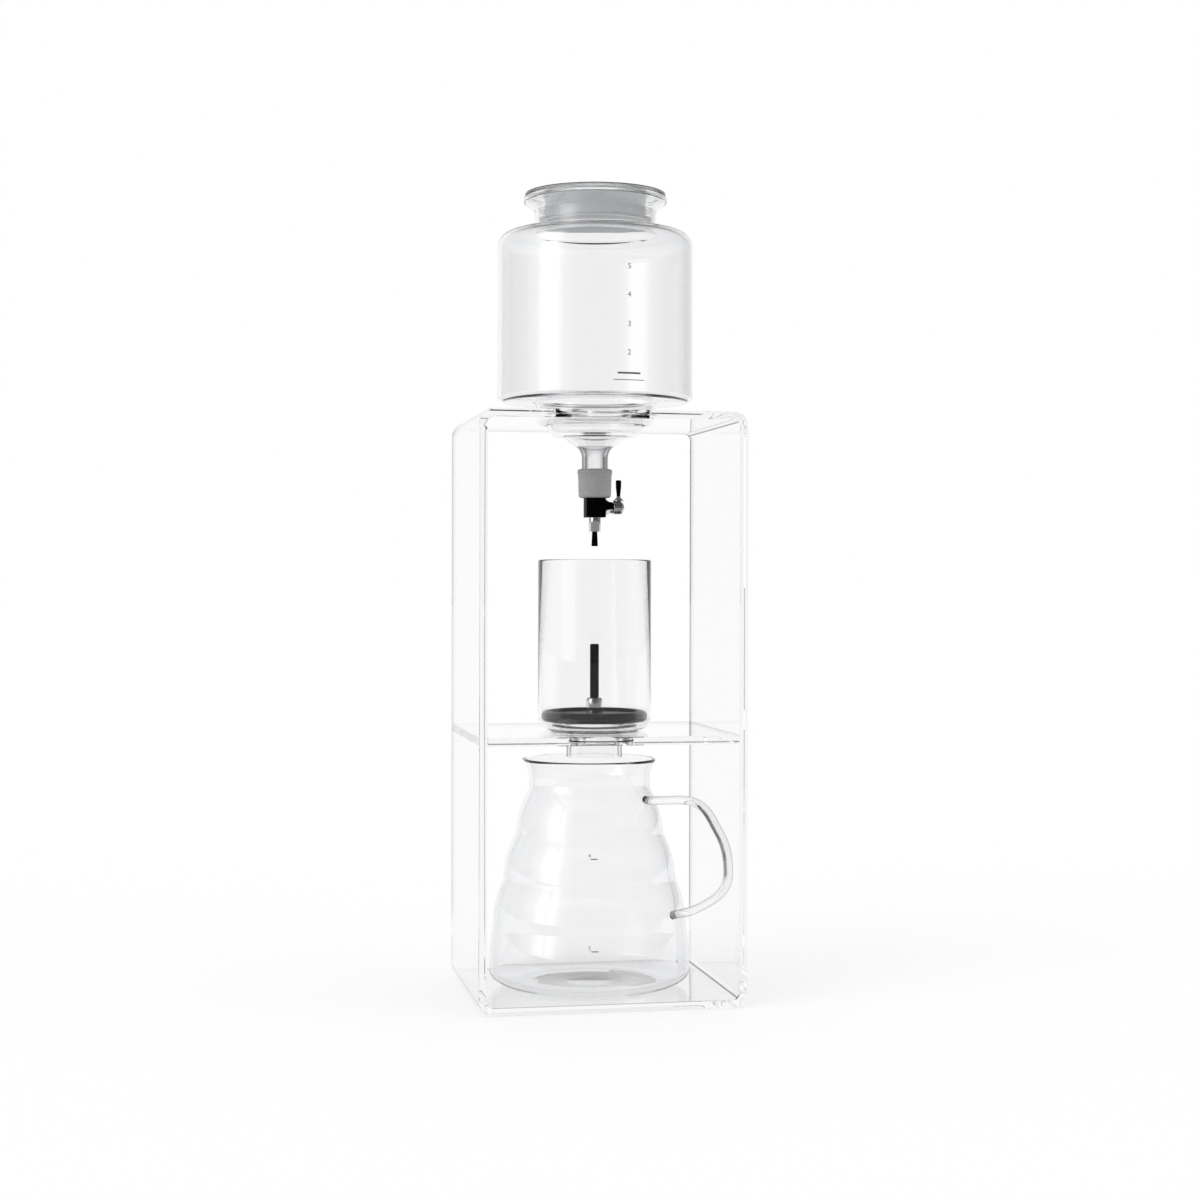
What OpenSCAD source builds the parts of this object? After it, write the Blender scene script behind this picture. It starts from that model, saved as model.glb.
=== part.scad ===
// Cold drip coffee tower. A clear acrylic stand carries a glass water bowl with a drip tap,
// a glass coffee cylinder with a lift-out filter, and a glass server with a handle.
// +X is to the right, +Y to the back and +Z up. The origin is the middle of the stand's underside.
// Every height in the stack follows from the pieces below it, from the base up to the lid.

/* [Stand] */
// Thickness of the acrylic sheet
sheet_t = 5; // [4:0.5:7]
// Inner radius of the sheet's four bends
bend_in_r = 4; // [2:0.5:8]
// Space between the server's widest part and each side wall
side_gap = 13.5; // [12:0.5:30]
// How far the stand reaches past the server's widest part, front and back
depth_gap = 3.5; // [2:0.5:30]
// Space between the server's rim and the underside of the shelf
jug_headroom = 12.4; // [8:0.2:20]
// Space round the bowl's neck in the top's hole
bowl_hole_gap = 1; // [0.5:0.1:2]
// Space round the cylinder's outlet in the shelf's hole
outlet_hole_gap = 3; // [1:0.5:5]

/* [Server] */
// Widest outer radius
jug_r = 61.5; // [56:0.5:70]
// Height from foot to rim
jug_h = 138.6; // [125:0.2:155]
// Thickness of the glass
jug_wall = 2.2; // [1.6:0.1:3]
// Outer radius of the narrowest part of the neck
jug_neck_r = 36.9; // [33:0.1:41]
// How far the rim flares out from the neck
jug_flare = 3.5; // [1.5:0.5:5]
// Height of the flared part above the neck
jug_flare_h = 13.6; // [10:0.2:18]
// Radius of the lowest notch between the ripples
jug_notch_r = 59; // [54:0.5:60]
// Height of the lowest notch
jug_notch_z = 38; // [30:0.5:44]
// Number of ripples down the side
ripple_count = 3; // [2:1:5]
// How far each ripple swells
ripple_swell = 1.6; // [0.5:0.1:2]
// Height of the rounding between the side and the foot
foot_round_h = 10; // [8:0.5:20]
// Width of the rounding between the side and the foot
foot_round_w = 20; // [12:0.5:24]
// Radius of the hollow under the foot
punt_r = 36; // [25:0.5:40]
// Depth of the hollow under the foot
punt_h = 0.8; // [0.4:0.1:1.2]
// Outer radius of the pouring spout
spout_r = 8.5; // [6:0.5:11]
// How far the spout's tip reaches past the rim
spout_out = 7; // [4:0.5:9]
// Height of the handle's upper joint above the foot
handle_top_z = 114.5; // [104:0.5:116]
// Height of the handle's lower joint above the foot
handle_low_z = 47; // [36:0.5:60]
// How far the handle reaches past the widest part
handle_out = 34.5; // [30:0.5:44]
// Thickness of the handle's glass strap
handle_t = 5.2; // [4:0.1:8]
// Width of the handle's glass strap
handle_w = 8.6; // [7:0.5:14]
// How far the server stands to the left of the middle
jug_left = 3; // [0:0.5:5]
// Space between the middle of the handle's tip and the stand's side wall
handle_side_gap = 3.4; // [3.2:0.1:14]

/* [Coffee cylinder] */
// Outer radius
brew_r = 34.6; // [30:0.2:40]
// Height above the shelf
brew_h = 104; // [85:0.5:125]
// Thickness of the glass
brew_wall = 1.8; // [1.4:0.1:2.6]
// Outer radius of the rounding between the side and the foot
brew_round = 8.1; // [5:0.1:9]
// Outer radius of the outlet under the shelf
outlet_r = 17.2; // [14:0.2:20]
// Radius where the foot turns into the outlet
outlet_round = 2.4; // [2:0.1:3]
// Space between the end of the outlet and the server's rim
pour_gap = 1; // [0.5:0.1:3]
// Space between the tap's tip and the cylinder's rim
drip_gap = 8.3; // [4:0.1:20]

/* [Filter] */
// Height of the silicone ring
ring_h = 6.4; // [5:0.1:8]
// Width of the silicone ring
ring_w = 5.2; // [4:0.1:7]
// Space between the ring and the glass
ring_gap = 0.3; // [0.2:0.05:0.6]
// Thickness of the perforated plate
plate_t = 0.8; // [0.5:0.1:1.2]
// Thickness of the mesh on the plate
mesh_t = 0.4; // [0.2:0.1:0.6]
// How deep the plate and the mesh sit in the ring
ring_grip = 2; // [1:0.1:3]
// Radius of each hole in the plate
plate_hole_r = 1.5; // [0.8:0.1:1.8]
// Rows of holes in the plate
plate_rows = 4; // [2:1:5]
// Radius of the handle rod
rod_r = 2.7; // [2:0.1:4]
// Height of the rod's top above the ring
rod_h = 39.4; // [25:0.2:44]
// Radius of the chrome boss
boss_r = 5.2; // [4:0.1:7]
// Height of the chrome boss above the ring
boss_h = 7.8; // [5:0.1:12]
// Radius of the threaded end of the rod
rod_thread_r = 1.5; // [1.2:0.1:2]
// Width across the corners of the nut under the plate
nut_w = 6.4; // [5:0.1:8]
// Height of the nut under the plate
nut_h = 2.2; // [1.5:0.1:3]

/* [Water bowl] */
// Outer radius of the body
bowl_r = 59.6; // [52:0.2:64]
// Height of the body, from its flat bottom to its shoulder
bowl_h = 105; // [85:0.5:125]
// Thickness of the glass
bowl_wall = 2.2; // [1.6:0.1:3]
// Radius of the shoulder's edge
shoulder_round = 9; // [6:0.5:14]
// Radius of the bottom edge
bottom_round = 3.5; // [3.5:0.5:8]
// Outer radius of the mouth's neck
mouth_r = 37.1; // [34:0.1:42]
// Height of the neck above the shoulder
mouth_h = 12.2; // [8:0.2:18]
// How far the lip flares out
lip_flare = 6.7; // [4:0.1:8]
// Height of the flared lip
lip_h = 8; // [6:0.2:11]
// Outer radius of the collar that sits on the stand
collar_r = 36; // [33:0.5:40]
// Height of the collar
collar_h = 8.9; // [5:0.1:14]
// Outer radius of the cup that drops through the stand's top
cup_r = 29.6; // [25:0.2:31]
// Depth of the cup below the stand's top surface
cup_h = 12.8; // [11:0.2:20]
// Radius of the step between the cup and the funnel
step_r = 21; // [17:0.5:22]
// Height of the funnel
funnel_h = 7.6; // [5:0.2:12]
// Outer radius of the glass stem
stem_r = 8; // [6.5:0.1:9]
// Length of stem that shows above the stopper
stem_h = 11.2; // [8:0.2:20]
// Depth of the stem in the stopper
stem_grip = 10.6; // [7:0.2:12]

/* [Lid] */
// How far the lid's top stays inside the edge of the lip
lid_inset = 0.8; // [0.4:0.1:1]
// Thickness of the lid's top
lid_t = 2; // [1.4:0.1:3]
// Space between the plug and the inside of the neck
plug_gap = 4; // [2:0.1:6]
// How far the plug reaches into the neck
plug_h = 15.5; // [10:0.5:20]
// Thickness of the plug's wall
plug_t = 1.8; // [1.2:0.1:2.5]
// Height of the bead that steadies the plug
plug_bead_h = 1.6; // [1:0.1:3]
// Space between the bead and the inside of the neck
plug_bead_gap = 0.6; // [0.4:0.1:1]

/* [Tap] */
// Outer radius of the silicone stopper
stopper_r = 10.3; // [9.5:0.1:12]
// Height of the silicone stopper
stopper_h = 17.6; // [16:0.2:22]
// How far the stopper's bead stands out
bead_out = 0.4; // [0.2:0.1:0.8]
// Height of the stopper's bead
bead_h = 2.6; // [1.5:0.1:4]
// Width of the square tap body
block_w = 12; // [11:0.1:15]
// Height of the tap body
block_h = 11.9; // [11:0.1:15]
// Radius of the edges of the tap body
block_round = 1; // [0.5:0.1:2]
// Radius of the turning key
key_r = 3.1; // [2.8:0.05:3.4]
// Radius of the water way
water_r = 1.2; // [0.8:0.1:1.4]
// Radius of the key's stem
key_stem_r = 2; // [1.6:0.1:2.2]
// Thickness of the wall behind the key
key_back = 1.7; // [1.2:0.1:2.2]
// Length of the key inside the body
key_len = 7.6; // [7:0.1:8]
// Width across the corners of the gland nut
gland_w = 9; // [8:0.1:11]
// Length of the gland nut outside the body
gland_len = 4.9; // [3:0.1:7]
// Radius of the key's knob
knob_r = 4.1; // [3.4:0.1:5]
// Length of the key's knob
knob_len = 7.2; // [6:0.1:9]
// Thickness of the O-rings
seal_t = 1; // [0.8:0.05:1.2]
// Radius of the lever's thin stem
lever_stem_r = 0.9; // [0.7:0.05:1.2]
// Radius of the lever's collar
lever_collar_r = 3.6; // [3:0.1:4]
// Height of the lever's collar
lever_collar_h = 2.9; // [1.5:0.1:4]
// Radius of the grip's foot
grip_foot_r = 1.3; // [1.1:0.05:1.8]
// Radius of the grip's top
grip_top_r = 1.75; // [1.3:0.05:2.4]
// Length of the grip
grip_len = 10; // [7:0.2:16]
// Outer radius of the nozzle sleeve
sleeve_r = 3.7; // [3.2:0.1:4.5]
// Length of the nozzle sleeve
sleeve_len = 8.8; // [5:0.1:12]
// Thickness of the nozzle sleeve
sleeve_wall = 0.8; // [0.5:0.1:1]
// Outer radius of the drip tube
drip_r = 1.6; // [1.3:0.05:1.8]
// Radius of the drip tube's flared tip
drip_tip_r = 2; // [1.8:0.05:2.4]
// Bore of the drip tube
drip_bore_r = 0.9; // [0.6:0.05:1.1]
// How far the drip tube reaches past the sleeve
drip_len = 8.8; // [5:0.1:12]

/* [Hidden] */
$fn = 96;
// Steps in each rounded corner of a turned outline
arc_steps = 7;
// Overrun of every cut
cut = 1;
// Small clearance of pieces that are screwed or pushed together
snug = 0.05;
// Running clearance of the turning key
run = 0.05;
// Clearance of a curved face over its seat
seat = 0.3;

// Stand
bend_out_r = bend_in_r + sheet_t;
stand_in_w = 2 * (jug_r + side_gap);
stand_w = stand_in_w + 2 * sheet_t;
stand_d = 2 * (jug_r + depth_gap);
shelf_z = sheet_t + jug_h + jug_headroom + sheet_t;
shelf_hole_r = outlet_r + outlet_hole_gap;
top_hole_r = cup_r + bowl_hole_gap;

// Stack of heights from the cylinder's rim up to the bowl
brew_top = shelf_z + brew_h;
tip_z = brew_top + drip_gap;
sleeve_z = tip_z + drip_len;
block_z = sleeve_z + sleeve_len;
block_top = block_z + block_h;
stopper_top = block_top + stopper_h;
stem_end = stopper_top - stem_grip;
funnel_low = stopper_top + stem_h;
cup_low = funnel_low + funnel_h;
stand_h = cup_low + cup_h;
body_low = stand_h + collar_h;
bowl_seam = stand_h + collar_h / 2;
shoulder_z = body_low + bowl_h;
lip_low = shoulder_z + mouth_h;
lip_top = lip_low + lip_h;
outlet_end = sheet_t + jug_h + pour_gap;

// Tap
key_z = block_z + block_h / 2;
key_from = key_back - block_w / 2;
key_to = key_from + key_len;
gland_to = block_w / 2 + gland_len;
knob_from = gland_to + seat;
knob_to = knob_from + knob_len;
lever_x = (knob_from + knob_to) / 2;
lever_base = key_z + knob_r;
grip_z = lever_base + lever_collar_h;
inlet_thread_share = 0.24;
inlet_thread_h = block_h * inlet_thread_share;
inlet_r = 2 * water_r;
inlet_thread_r = inlet_r;
barb_out = 0.7;
barb_h = 2;
barb_count = 3;
spigot_h = 2.2;
spigot_r = sleeve_r - sleeve_wall / 2;
web_h = 1.5;
seal_gap = 0.02;
seal_place_share = 0.31;

// Server
jug_neck_z = jug_h - jug_flare_h;
ripple_top_z = jug_neck_z - jug_wall * 2;
ripple_bow_share = 0.19;
ripple_steps = 7;
spout_tilt = 48;
spout_angle_lift = 0.5;
handle_reach = jug_r + handle_out;
handle_turn = acos((stand_in_w / 2 + jug_left - handle_side_gap) / handle_reach);
handle_sink = 0.8;
handle_sides = 16;
handle_steps = 7;
// Places along the handle, as shares of its reach past the upper joint and of its height
handle_out_shares = [0, 0.24, 0.48, 0.62, 0.73, 0.86, 0.96, 1, 0.98, 0.89, 0.77, 0.55];
handle_down_shares = [0, -0.01, -0.02, 0, 0.06, 0.21, 0.36, 0.54, 0.7, 0.8, 0.87, 0.96];

// Filter
brew_in_r = brew_r - brew_wall;
ring_r = brew_in_r - ring_gap;
ring_z = shelf_z + brew_round - ring_h / 2 + seat;
plate_z = ring_z + ring_h / 2;
plate_r = ring_r - ring_w + ring_grip;
hole_field_from = boss_r + plate_hole_r;
hole_field_to = ring_r - ring_w - 2 * plate_hole_r;
holes_in_first_row = 10;
mesh_top = plate_z + plate_t + mesh_t;

// Lid
lid_r = mouth_r + lip_flare - lid_inset;
plug_r = mouth_r - bowl_wall - plug_gap;
lid_dish = 1.2;
dish_share = 0.8;

// Functions for turned outlines

function unit(v) = v / norm(v);

// Normal of a stretch of outline, on the right-hand side of its direction of travel
function right_of(a, b) = let (d = unit(b - a)) [d.y, -d.x];

// Arc of radius r that rounds the corner p between its neighbours a and b
function corner(a, p, b, r) =
    let (
        u = unit(a - p),
        v = unit(b - p),
        half = acos(u * v) / 2,
        c = p + unit(u + v) * r / sin(half),
        s = p + u * r / tan(half),
        e = p + v * r / tan(half),
        from = atan2(s.y - c.y, s.x - c.x),
        sweep = (atan2(e.y - c.y, e.x - c.x) - from + 540) % 360 - 180
    )
    [for (i = [0:arc_steps]) c + r * [cos(from + sweep * i / arc_steps), sin(from + sweep * i / arc_steps)]];

// Outline through corners [radius, height, rounding]
function rounded(p) = [
    for (i = [0:len(p) - 1])
        each (i == 0 || i == len(p) - 1 || p[i].z == 0)
            ? [[p[i].x, p[i].y]]
            : corner([p[i - 1].x, p[i - 1].y], [p[i].x, p[i].y], [p[i + 1].x, p[i + 1].y], p[i].z)
];

// The outline moved by t to the right-hand side of its direction of travel
function parallel(p, t) =
    let (last = len(p) - 1)
    [
        for (i = [0:last])
            let (
                a = right_of(p[max(i - 1, 0)], p[max(i, 1)]),
                b = right_of(p[min(i, last - 1)], p[min(i + 1, last)])
            )
            p[i] + t * (a + b) / (1 + a * b)
    ];

// Half round over the start of a wall, from its inner to its outer side
function rim(p, t) =
    let (
        d = unit(p[1] - p[0]),
        inner = right_of(p[0], p[1])
    )
    [for (i = [1:arc_steps - 1]) p[0] + t / 2 * (inner * (1 + cos(180 * i / arc_steps)) - d * sin(180 * i / arc_steps))];

function reversed(p) = [for (i = [len(p) - 1:-1:0]) p[i]];

// Section of a wall of thickness t inside the outline p, which runs from the rim down
module wall_section(p, t) {
    polygon(concat(rim(p, t), p, reversed(parallel(p, t))));
}

// The wall turned about the Z axis
module turned_wall(p, t) {
    rotate_extrude()
        wall_section(p, t);
}

// Tube or ring between two heights
module ring(outer, inner, from, to) {
    translate([0, 0, from])
        difference() {
            cylinder(r = outer, h = to - from);
            translate([0, 0, -cut])
                cylinder(r = inner, h = to - from + 2 * cut);
        }
}

// Rod along X between two places
module rod_x(r, from, to) {
    translate([from, 0, 0])
        rotate([0, 90, 0])
            cylinder(r = r, h = to - from);
}

// Rectangle with round corners
module round_rect(w, h, r) {
    square([w - 2 * r, h], center = true);
    square([w, h - 2 * r], center = true);
    for (x = [-1, 1], y = [-1, 1])
        translate([x * (w / 2 - r), y * (h / 2 - r)])
            circle(r = r);
}

// Stand

// One acrylic sheet, bent four times into a closed loop, with the hole for the bowl in its top
module stand_frame() {
    color("azure", 0.35)
        difference() {
            translate([0, stand_d / 2, stand_h / 2])
                rotate([90, 0, 0])
                    linear_extrude(height = stand_d)
                        difference() {
                            round_rect(stand_w, stand_h, bend_out_r);
                            round_rect(stand_in_w, stand_h - 2 * sheet_t, bend_in_r);
                        }
            translate([0, 0, stand_h - sheet_t - cut])
                cylinder(r = top_hole_r, h = sheet_t + 2 * cut);
        }
}

// Shelf glued between the side walls, with the hole for the cylinder's outlet
module shelf() {
    color("azure", 0.35)
        translate([0, 0, shelf_z - sheet_t])
            difference() {
                translate([-stand_in_w / 2, -stand_d / 2, 0])
                    cube([stand_in_w, stand_d, sheet_t]);
                translate([0, 0, -cut])
                    cylinder(r = shelf_hole_r, h = sheet_t + 2 * cut);
            }
}

// Water bowl and lid

// Blown glass bowl: lip, neck, body, collar on the stand, cup through the hole, funnel and stem
bowl_outline = rounded([
    [mouth_r + lip_flare, lip_top - bowl_wall / 2, 0],
    [mouth_r + lip_flare, lip_top - bowl_wall * 3 / 2, bowl_wall],
    [mouth_r, lip_low, bowl_wall],
    [mouth_r, shoulder_z, bowl_wall * 1.5],
    [bowl_r, shoulder_z - bowl_wall, shoulder_round],
    [bowl_r, body_low, bottom_round],
    [collar_r, body_low, bowl_wall * 1.2],
    [collar_r, stand_h, bowl_wall * 1.1],
    [cup_r, stand_h, bowl_wall * 0.4],
    [cup_r, cup_low, cup_r - step_r],
    [step_r - bowl_wall, cup_low, bowl_wall],
    [stem_r, funnel_low, stem_r],
    [stem_r, stem_end, 0]
]);

// The bowl's glass between two heights. It is two nodes, fused at a flat seam in the collar.
module bowl_glass(from, to) {
    color("lightcyan", 0.4)
        rotate_extrude()
            intersection() {
                wall_section(bowl_outline, bowl_wall);
                translate([0, from])
                    square([bowl_r + cut, to - from]);
            }
}

// Lip, neck, body and the upper half of the collar
module water_bowl() {
    bowl_glass(bowl_seam, lip_top + cut);
}

// Lower half of the collar, cup, funnel and stem
module bowl_outlet() {
    bowl_glass(stem_end - cut, bowl_seam);
}

// Moulded lid: a thin dished top over the lip and a hollow plug with a bead in the neck
module lid() {
    top = lip_top + seat;
    plug_low = top - plug_h;
    color("gainsboro", 0.8)
        difference() {
            union() {
                translate([0, 0, top])
                    cylinder(r = lid_r, h = lid_t);
                ring(plug_r, plug_r - plug_t, plug_low, top + lid_t / 2);
                ring(plug_r + plug_gap - plug_bead_gap, plug_r - plug_t, plug_low, plug_low + plug_bead_h);
            }
            translate([0, 0, top + lid_t - lid_dish])
                cylinder(r = plug_r * dish_share, h = lid_dish + cut);
        }
}

// Tap

// Silicone joint: the glass stem from above, the tap's barbed inlet from below
module stopper() {
    outline = rounded([
        [stem_r + snug, stopper_top, 0],
        [stopper_r + bead_out, stopper_top, bead_h / 2],
        [stopper_r + bead_out, stopper_top - bead_h, bead_out / 2],
        [stopper_r, stopper_top - bead_h - bead_out, bead_out],
        [stopper_r, block_top, bead_h * 0.8],
        [inlet_r + barb_out + snug, block_top, 0],
        [inlet_r + barb_out + snug, stem_end - snug, 0],
        [stem_r + snug, stem_end - snug, 0]
    ]);
    color("darkgray")
        rotate_extrude()
            polygon(outline);
}

// Inlet tube: threaded into the body, with barbs that hold the stopper
module tap_inlet() {
    rise = stem_end - block_top - snug;
    pitch = rise / barb_count;
    color("silver")
        difference() {
            union() {
                translate([0, 0, block_top - inlet_thread_h])
                    cylinder(r = inlet_thread_r, h = inlet_thread_h + rise);
                for (i = [0:barb_count - 1])
                    translate([0, 0, block_top + i * pitch])
                        cylinder(r1 = inlet_r + barb_out, r2 = inlet_r, h = min(barb_h, pitch));
            }
            translate([0, 0, block_top - inlet_thread_h - cut])
                cylinder(r = water_r, h = inlet_thread_h + rise + 2 * cut);
        }
}

// Square body with the water way down through it and the key's bore across it
module tap_body() {
    color("black")
        difference() {
            translate([0, 0, block_z])
                linear_extrude(height = block_h)
                    round_rect(block_w, block_w, block_round);
            translate([0, 0, block_z - cut])
                cylinder(r = water_r, h = block_h + 2 * cut);
            translate([0, 0, block_top - inlet_thread_h - snug])
                cylinder(r = inlet_thread_r + snug, h = inlet_thread_h + snug + cut);
            translate([0, 0, block_z - cut])
                cylinder(r = spigot_r + snug, h = spigot_h + snug + cut);
            translate([0, 0, key_z])
                rod_x(key_r + run, key_from - run, block_w / 2 + cut);
        }
}

// Gland nut that keeps the key in the body
module tap_gland() {
    color("dimgray")
        translate([0, 0, key_z])
            difference() {
                union() {
                    rod_x(key_r, key_to + run, block_w / 2 + snug);
                    translate([block_w / 2, 0, 0])
                        rotate([0, 90, 0])
                            cylinder(d = gland_w, h = gland_len, $fn = 6);
                }
                rod_x(key_stem_r + run, key_to - cut, gland_to + cut);
            }
}

// Chrome sleeve under the body, with a web that holds the drip tube
module nozzle_sleeve() {
    color("silver")
        difference() {
            union() {
                translate([0, 0, sleeve_z])
                    cylinder(r = sleeve_r, h = sleeve_len);
                translate([0, 0, block_z - cut])
                    cylinder(r = spigot_r, h = spigot_h + cut);
            }
            translate([0, 0, sleeve_z - cut])
                cylinder(r = sleeve_r - sleeve_wall, h = sleeve_len + spigot_h - web_h + cut);
            translate([0, 0, sleeve_z])
                cylinder(r = drip_r + snug, h = sleeve_len + spigot_h + cut);
        }
}

// Thin tube that forms the drops, with a flared tip
module drip_tube() {
    color("black")
        difference() {
            union() {
                translate([0, 0, tip_z])
                    cylinder(r = drip_r, h = drip_len + sleeve_len + spigot_h);
                translate([0, 0, tip_z])
                    cylinder(r1 = drip_tip_r, r2 = drip_r, h = drip_len);
            }
            translate([0, 0, tip_z - cut])
                cylinder(r = drip_bore_r, h = drip_len + sleeve_len + spigot_h + 2 * cut);
        }
}

// Turning key: cross bore and seal grooves inside the body, stem through the gland, knob outside
module tap_key() {
    seal_x = key_len * seal_place_share;
    middle = (key_from + key_to) / 2;
    color("black")
        translate([0, 0, key_z])
            difference() {
                union() {
                    rod_x(key_r, key_from, key_to);
                    rod_x(key_stem_r, key_to - cut, knob_from + cut);
                    rod_x(knob_r, knob_from, knob_to - knob_r / 4);
                    translate([knob_to - knob_r / 4, 0, 0])
                        rotate([0, 90, 0])
                            cylinder(r1 = knob_r, r2 = knob_r * 3 / 4, h = knob_r / 4);
                }
                translate([0, 0, -key_r - cut])
                    cylinder(r = water_r, h = 2 * key_r + 2 * cut);
                for (side = [-1, 1])
                    translate([middle + side * seal_x - seal_t / 2, 0, 0])
                        rotate([0, 90, 0])
                            ring(key_r + cut, key_r + run - seal_gap - seal_t, 0, seal_t);
                translate([lever_x, 0, 0])
                    cylinder(r = lever_stem_r + snug, h = knob_r + cut);
            }
}

// Two O-rings in the key's grooves
module key_seals() {
    seal_x = key_len * seal_place_share;
    middle = (key_from + key_to) / 2;
    color("darkslategray")
        for (side = [-1, 1])
            translate([middle + side * seal_x, 0, key_z])
                rotate([0, 90, 0])
                    rotate_extrude()
                        translate([key_r + run - seal_gap - seal_t / 2, 0])
                            circle(d = seal_t - seal_gap);
}

// Domed collar at the foot of the lever
module lever_collar() {
    color("silver")
        translate([lever_x, 0, lever_base])
            difference() {
                union() {
                    cylinder(r1 = lever_collar_r, r2 = grip_foot_r, h = lever_collar_h * 3 / 4);
                    cylinder(r = grip_foot_r, h = lever_collar_h);
                }
                translate([0, 0, -cut])
                    cylinder(r = lever_stem_r + snug, h = lever_collar_h + 2 * cut);
            }
}

// Thin threaded stem from the knob up into the grip
module lever_stem() {
    color("silver")
        translate([lever_x, 0, key_z + snug])
            cylinder(r = lever_stem_r, h = knob_r + lever_collar_h + grip_len / 2 - snug);
}

// Black grip that swells towards its rounded top
module lever_grip() {
    outline = rounded([
        [0, grip_len, 0],
        [grip_top_r, grip_len, grip_top_r / 2],
        [grip_foot_r, 0, 0],
        [lever_stem_r + snug, 0, 0],
        [lever_stem_r + snug, grip_len / 2 + snug, 0],
        [0, grip_len / 2 + snug, 0]
    ]);
    color("black")
        translate([lever_x, 0, grip_z])
            rotate_extrude()
                polygon(outline);
}

// Coffee cylinder and filter

brew_outline = rounded([
    [brew_r, brew_top - brew_wall / 2, 0],
    [brew_r, shelf_z, brew_round],
    [outlet_r, shelf_z, outlet_round],
    [outlet_r, outlet_end, 0]
]);

module coffee_cylinder() {
    color("lightcyan", 0.4)
        turned_wall(brew_outline, brew_wall);
}

// Silicone ring with a round outer edge and a groove that grips the plate and the mesh
module filter_ring() {
    outline = rounded([
        [ring_r - ring_w, 0, 0],
        [ring_r, 0, ring_h * 0.49],
        [ring_r, ring_h, ring_h * 0.49],
        [ring_r - ring_w, ring_h, 0],
        [ring_r - ring_w, mesh_top - ring_z + snug, 0],
        [plate_r + snug, mesh_top - ring_z + snug, 0],
        [plate_r + snug, plate_z - ring_z - snug, 0],
        [ring_r - ring_w, plate_z - ring_z - snug, 0]
    ]);
    color("dimgray")
        translate([0, 0, ring_z])
            rotate_extrude()
                polygon(outline);
}

// Perforated steel plate
module filter_plate() {
    color("silver")
        translate([0, 0, plate_z])
            difference() {
                cylinder(r = plate_r, h = plate_t);
                translate([0, 0, -cut])
                    cylinder(r = rod_thread_r + snug, h = plate_t + 2 * cut);
                for (row = [0:plate_rows - 1]) {
                    count = holes_in_first_row + 6 * row;
                    away = hole_field_from + (hole_field_to - hole_field_from) * (row + 0.5) / plate_rows;
                    for (i = [0:count - 1])
                        rotate([0, 0, 360 * (i + row / 2) / count])
                            translate([away, 0, -cut])
                                cylinder(r = plate_hole_r, h = plate_t + 2 * cut);
                }
            }
}

// Fine woven mesh on the plate, as the disc that it fills
module filter_mesh() {
    color("gray")
        ring(plate_r, rod_thread_r + snug, plate_z + plate_t, mesh_top);
}

// Chrome boss that clamps the mesh and takes the rod
module filter_boss() {
    top = ring_z + ring_h + boss_h - mesh_top;
    outline = rounded([
        [rod_r + snug, top, 0],
        [boss_r, top, boss_r / 3],
        [boss_r, 0, 0],
        [rod_thread_r + snug, 0, 0],
        [rod_thread_r + snug, top / 3, 0],
        [rod_r + snug, top / 3, 0]
    ]);
    color("silver")
        translate([0, 0, mesh_top])
            rotate_extrude()
                polygon(outline);
}

// Handle rod with a threaded lower end
module filter_rod() {
    seat_z = mesh_top + (ring_z + ring_h + boss_h - mesh_top) / 3;
    rod_top = ring_z + ring_h + rod_h;
    color("dimgray")
        union() {
            translate([0, 0, seat_z + snug])
                cylinder(r = rod_r, h = rod_top - seat_z - snug);
            translate([0, 0, plate_z - nut_h])
                cylinder(r = rod_thread_r, h = seat_z - plate_z + nut_h + rod_r);
        }
}

// Hexagon nut under the plate
module filter_nut() {
    color("silver")
        translate([0, 0, plate_z - nut_h])
            difference() {
                cylinder(d = nut_w, h = nut_h, $fn = 6);
                translate([0, 0, -cut])
                    cylinder(r = rod_thread_r + snug, h = nut_h + 2 * cut);
            }
}

// Server

// Radius of the rippled side at the share u of the way down, with its swelling
function side_r(u) =
    jug_neck_r + (jug_notch_r - jug_neck_r) * ((1 + ripple_bow_share) * u - ripple_bow_share * u * u);
function ripple_r(u) = side_r(u) + ripple_swell * abs(sin(180 * u * ripple_count));

// Arc that leaves the vertical at its start and moves sideways by out over the height rise
function flare_r(out, rise) = (rise * rise + out * out) / (2 * out);

jug_outline = let (
        lip_mid = flare_r(jug_flare, jug_flare_h - jug_wall / 2),
        lip_turn = asin((jug_flare_h - jug_wall / 2) / lip_mid),
        lip = lip_mid - jug_wall / 2,
        low = flare_r(jug_r - jug_notch_r, jug_notch_z - foot_round_h),
        low_turn = asin((jug_notch_z - foot_round_h) / low),
        steps = ripple_steps * ripple_count
    )
    concat(
        [for (i = [arc_steps:-1:0]) let (a = lip_turn * i / arc_steps)
            [jug_neck_r + lip * (1 - cos(a)), jug_neck_z + lip * sin(a)]],
        [for (i = [0:steps]) let (u = i / steps)
            [ripple_r(u), ripple_top_z + (jug_notch_z - ripple_top_z) * u]],
        [for (i = [arc_steps - 1:-1:1]) let (a = low_turn * i / arc_steps)
            [jug_r - low * (1 - cos(a)), foot_round_h + low * sin(a)]],
        [for (i = [0:arc_steps]) let (a = -90 * i / arc_steps)
            [jug_r - foot_round_w + foot_round_w * cos(a), foot_round_h + foot_round_h * sin(a)]],
        [[0, 0]]
    );

// The spout's channel: a slanting rod through the rim
module spout_rod(r) {
    reach = jug_neck_r + jug_flare + spout_out;
    translate([reach - spout_r, 0, jug_h + spout_r * spout_angle_lift])
        rotate([0, spout_tilt, 0])
            translate([0, 0, -2 * jug_neck_r])
                cylinder(r = r, h = 3 * jug_neck_r);
}

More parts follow.
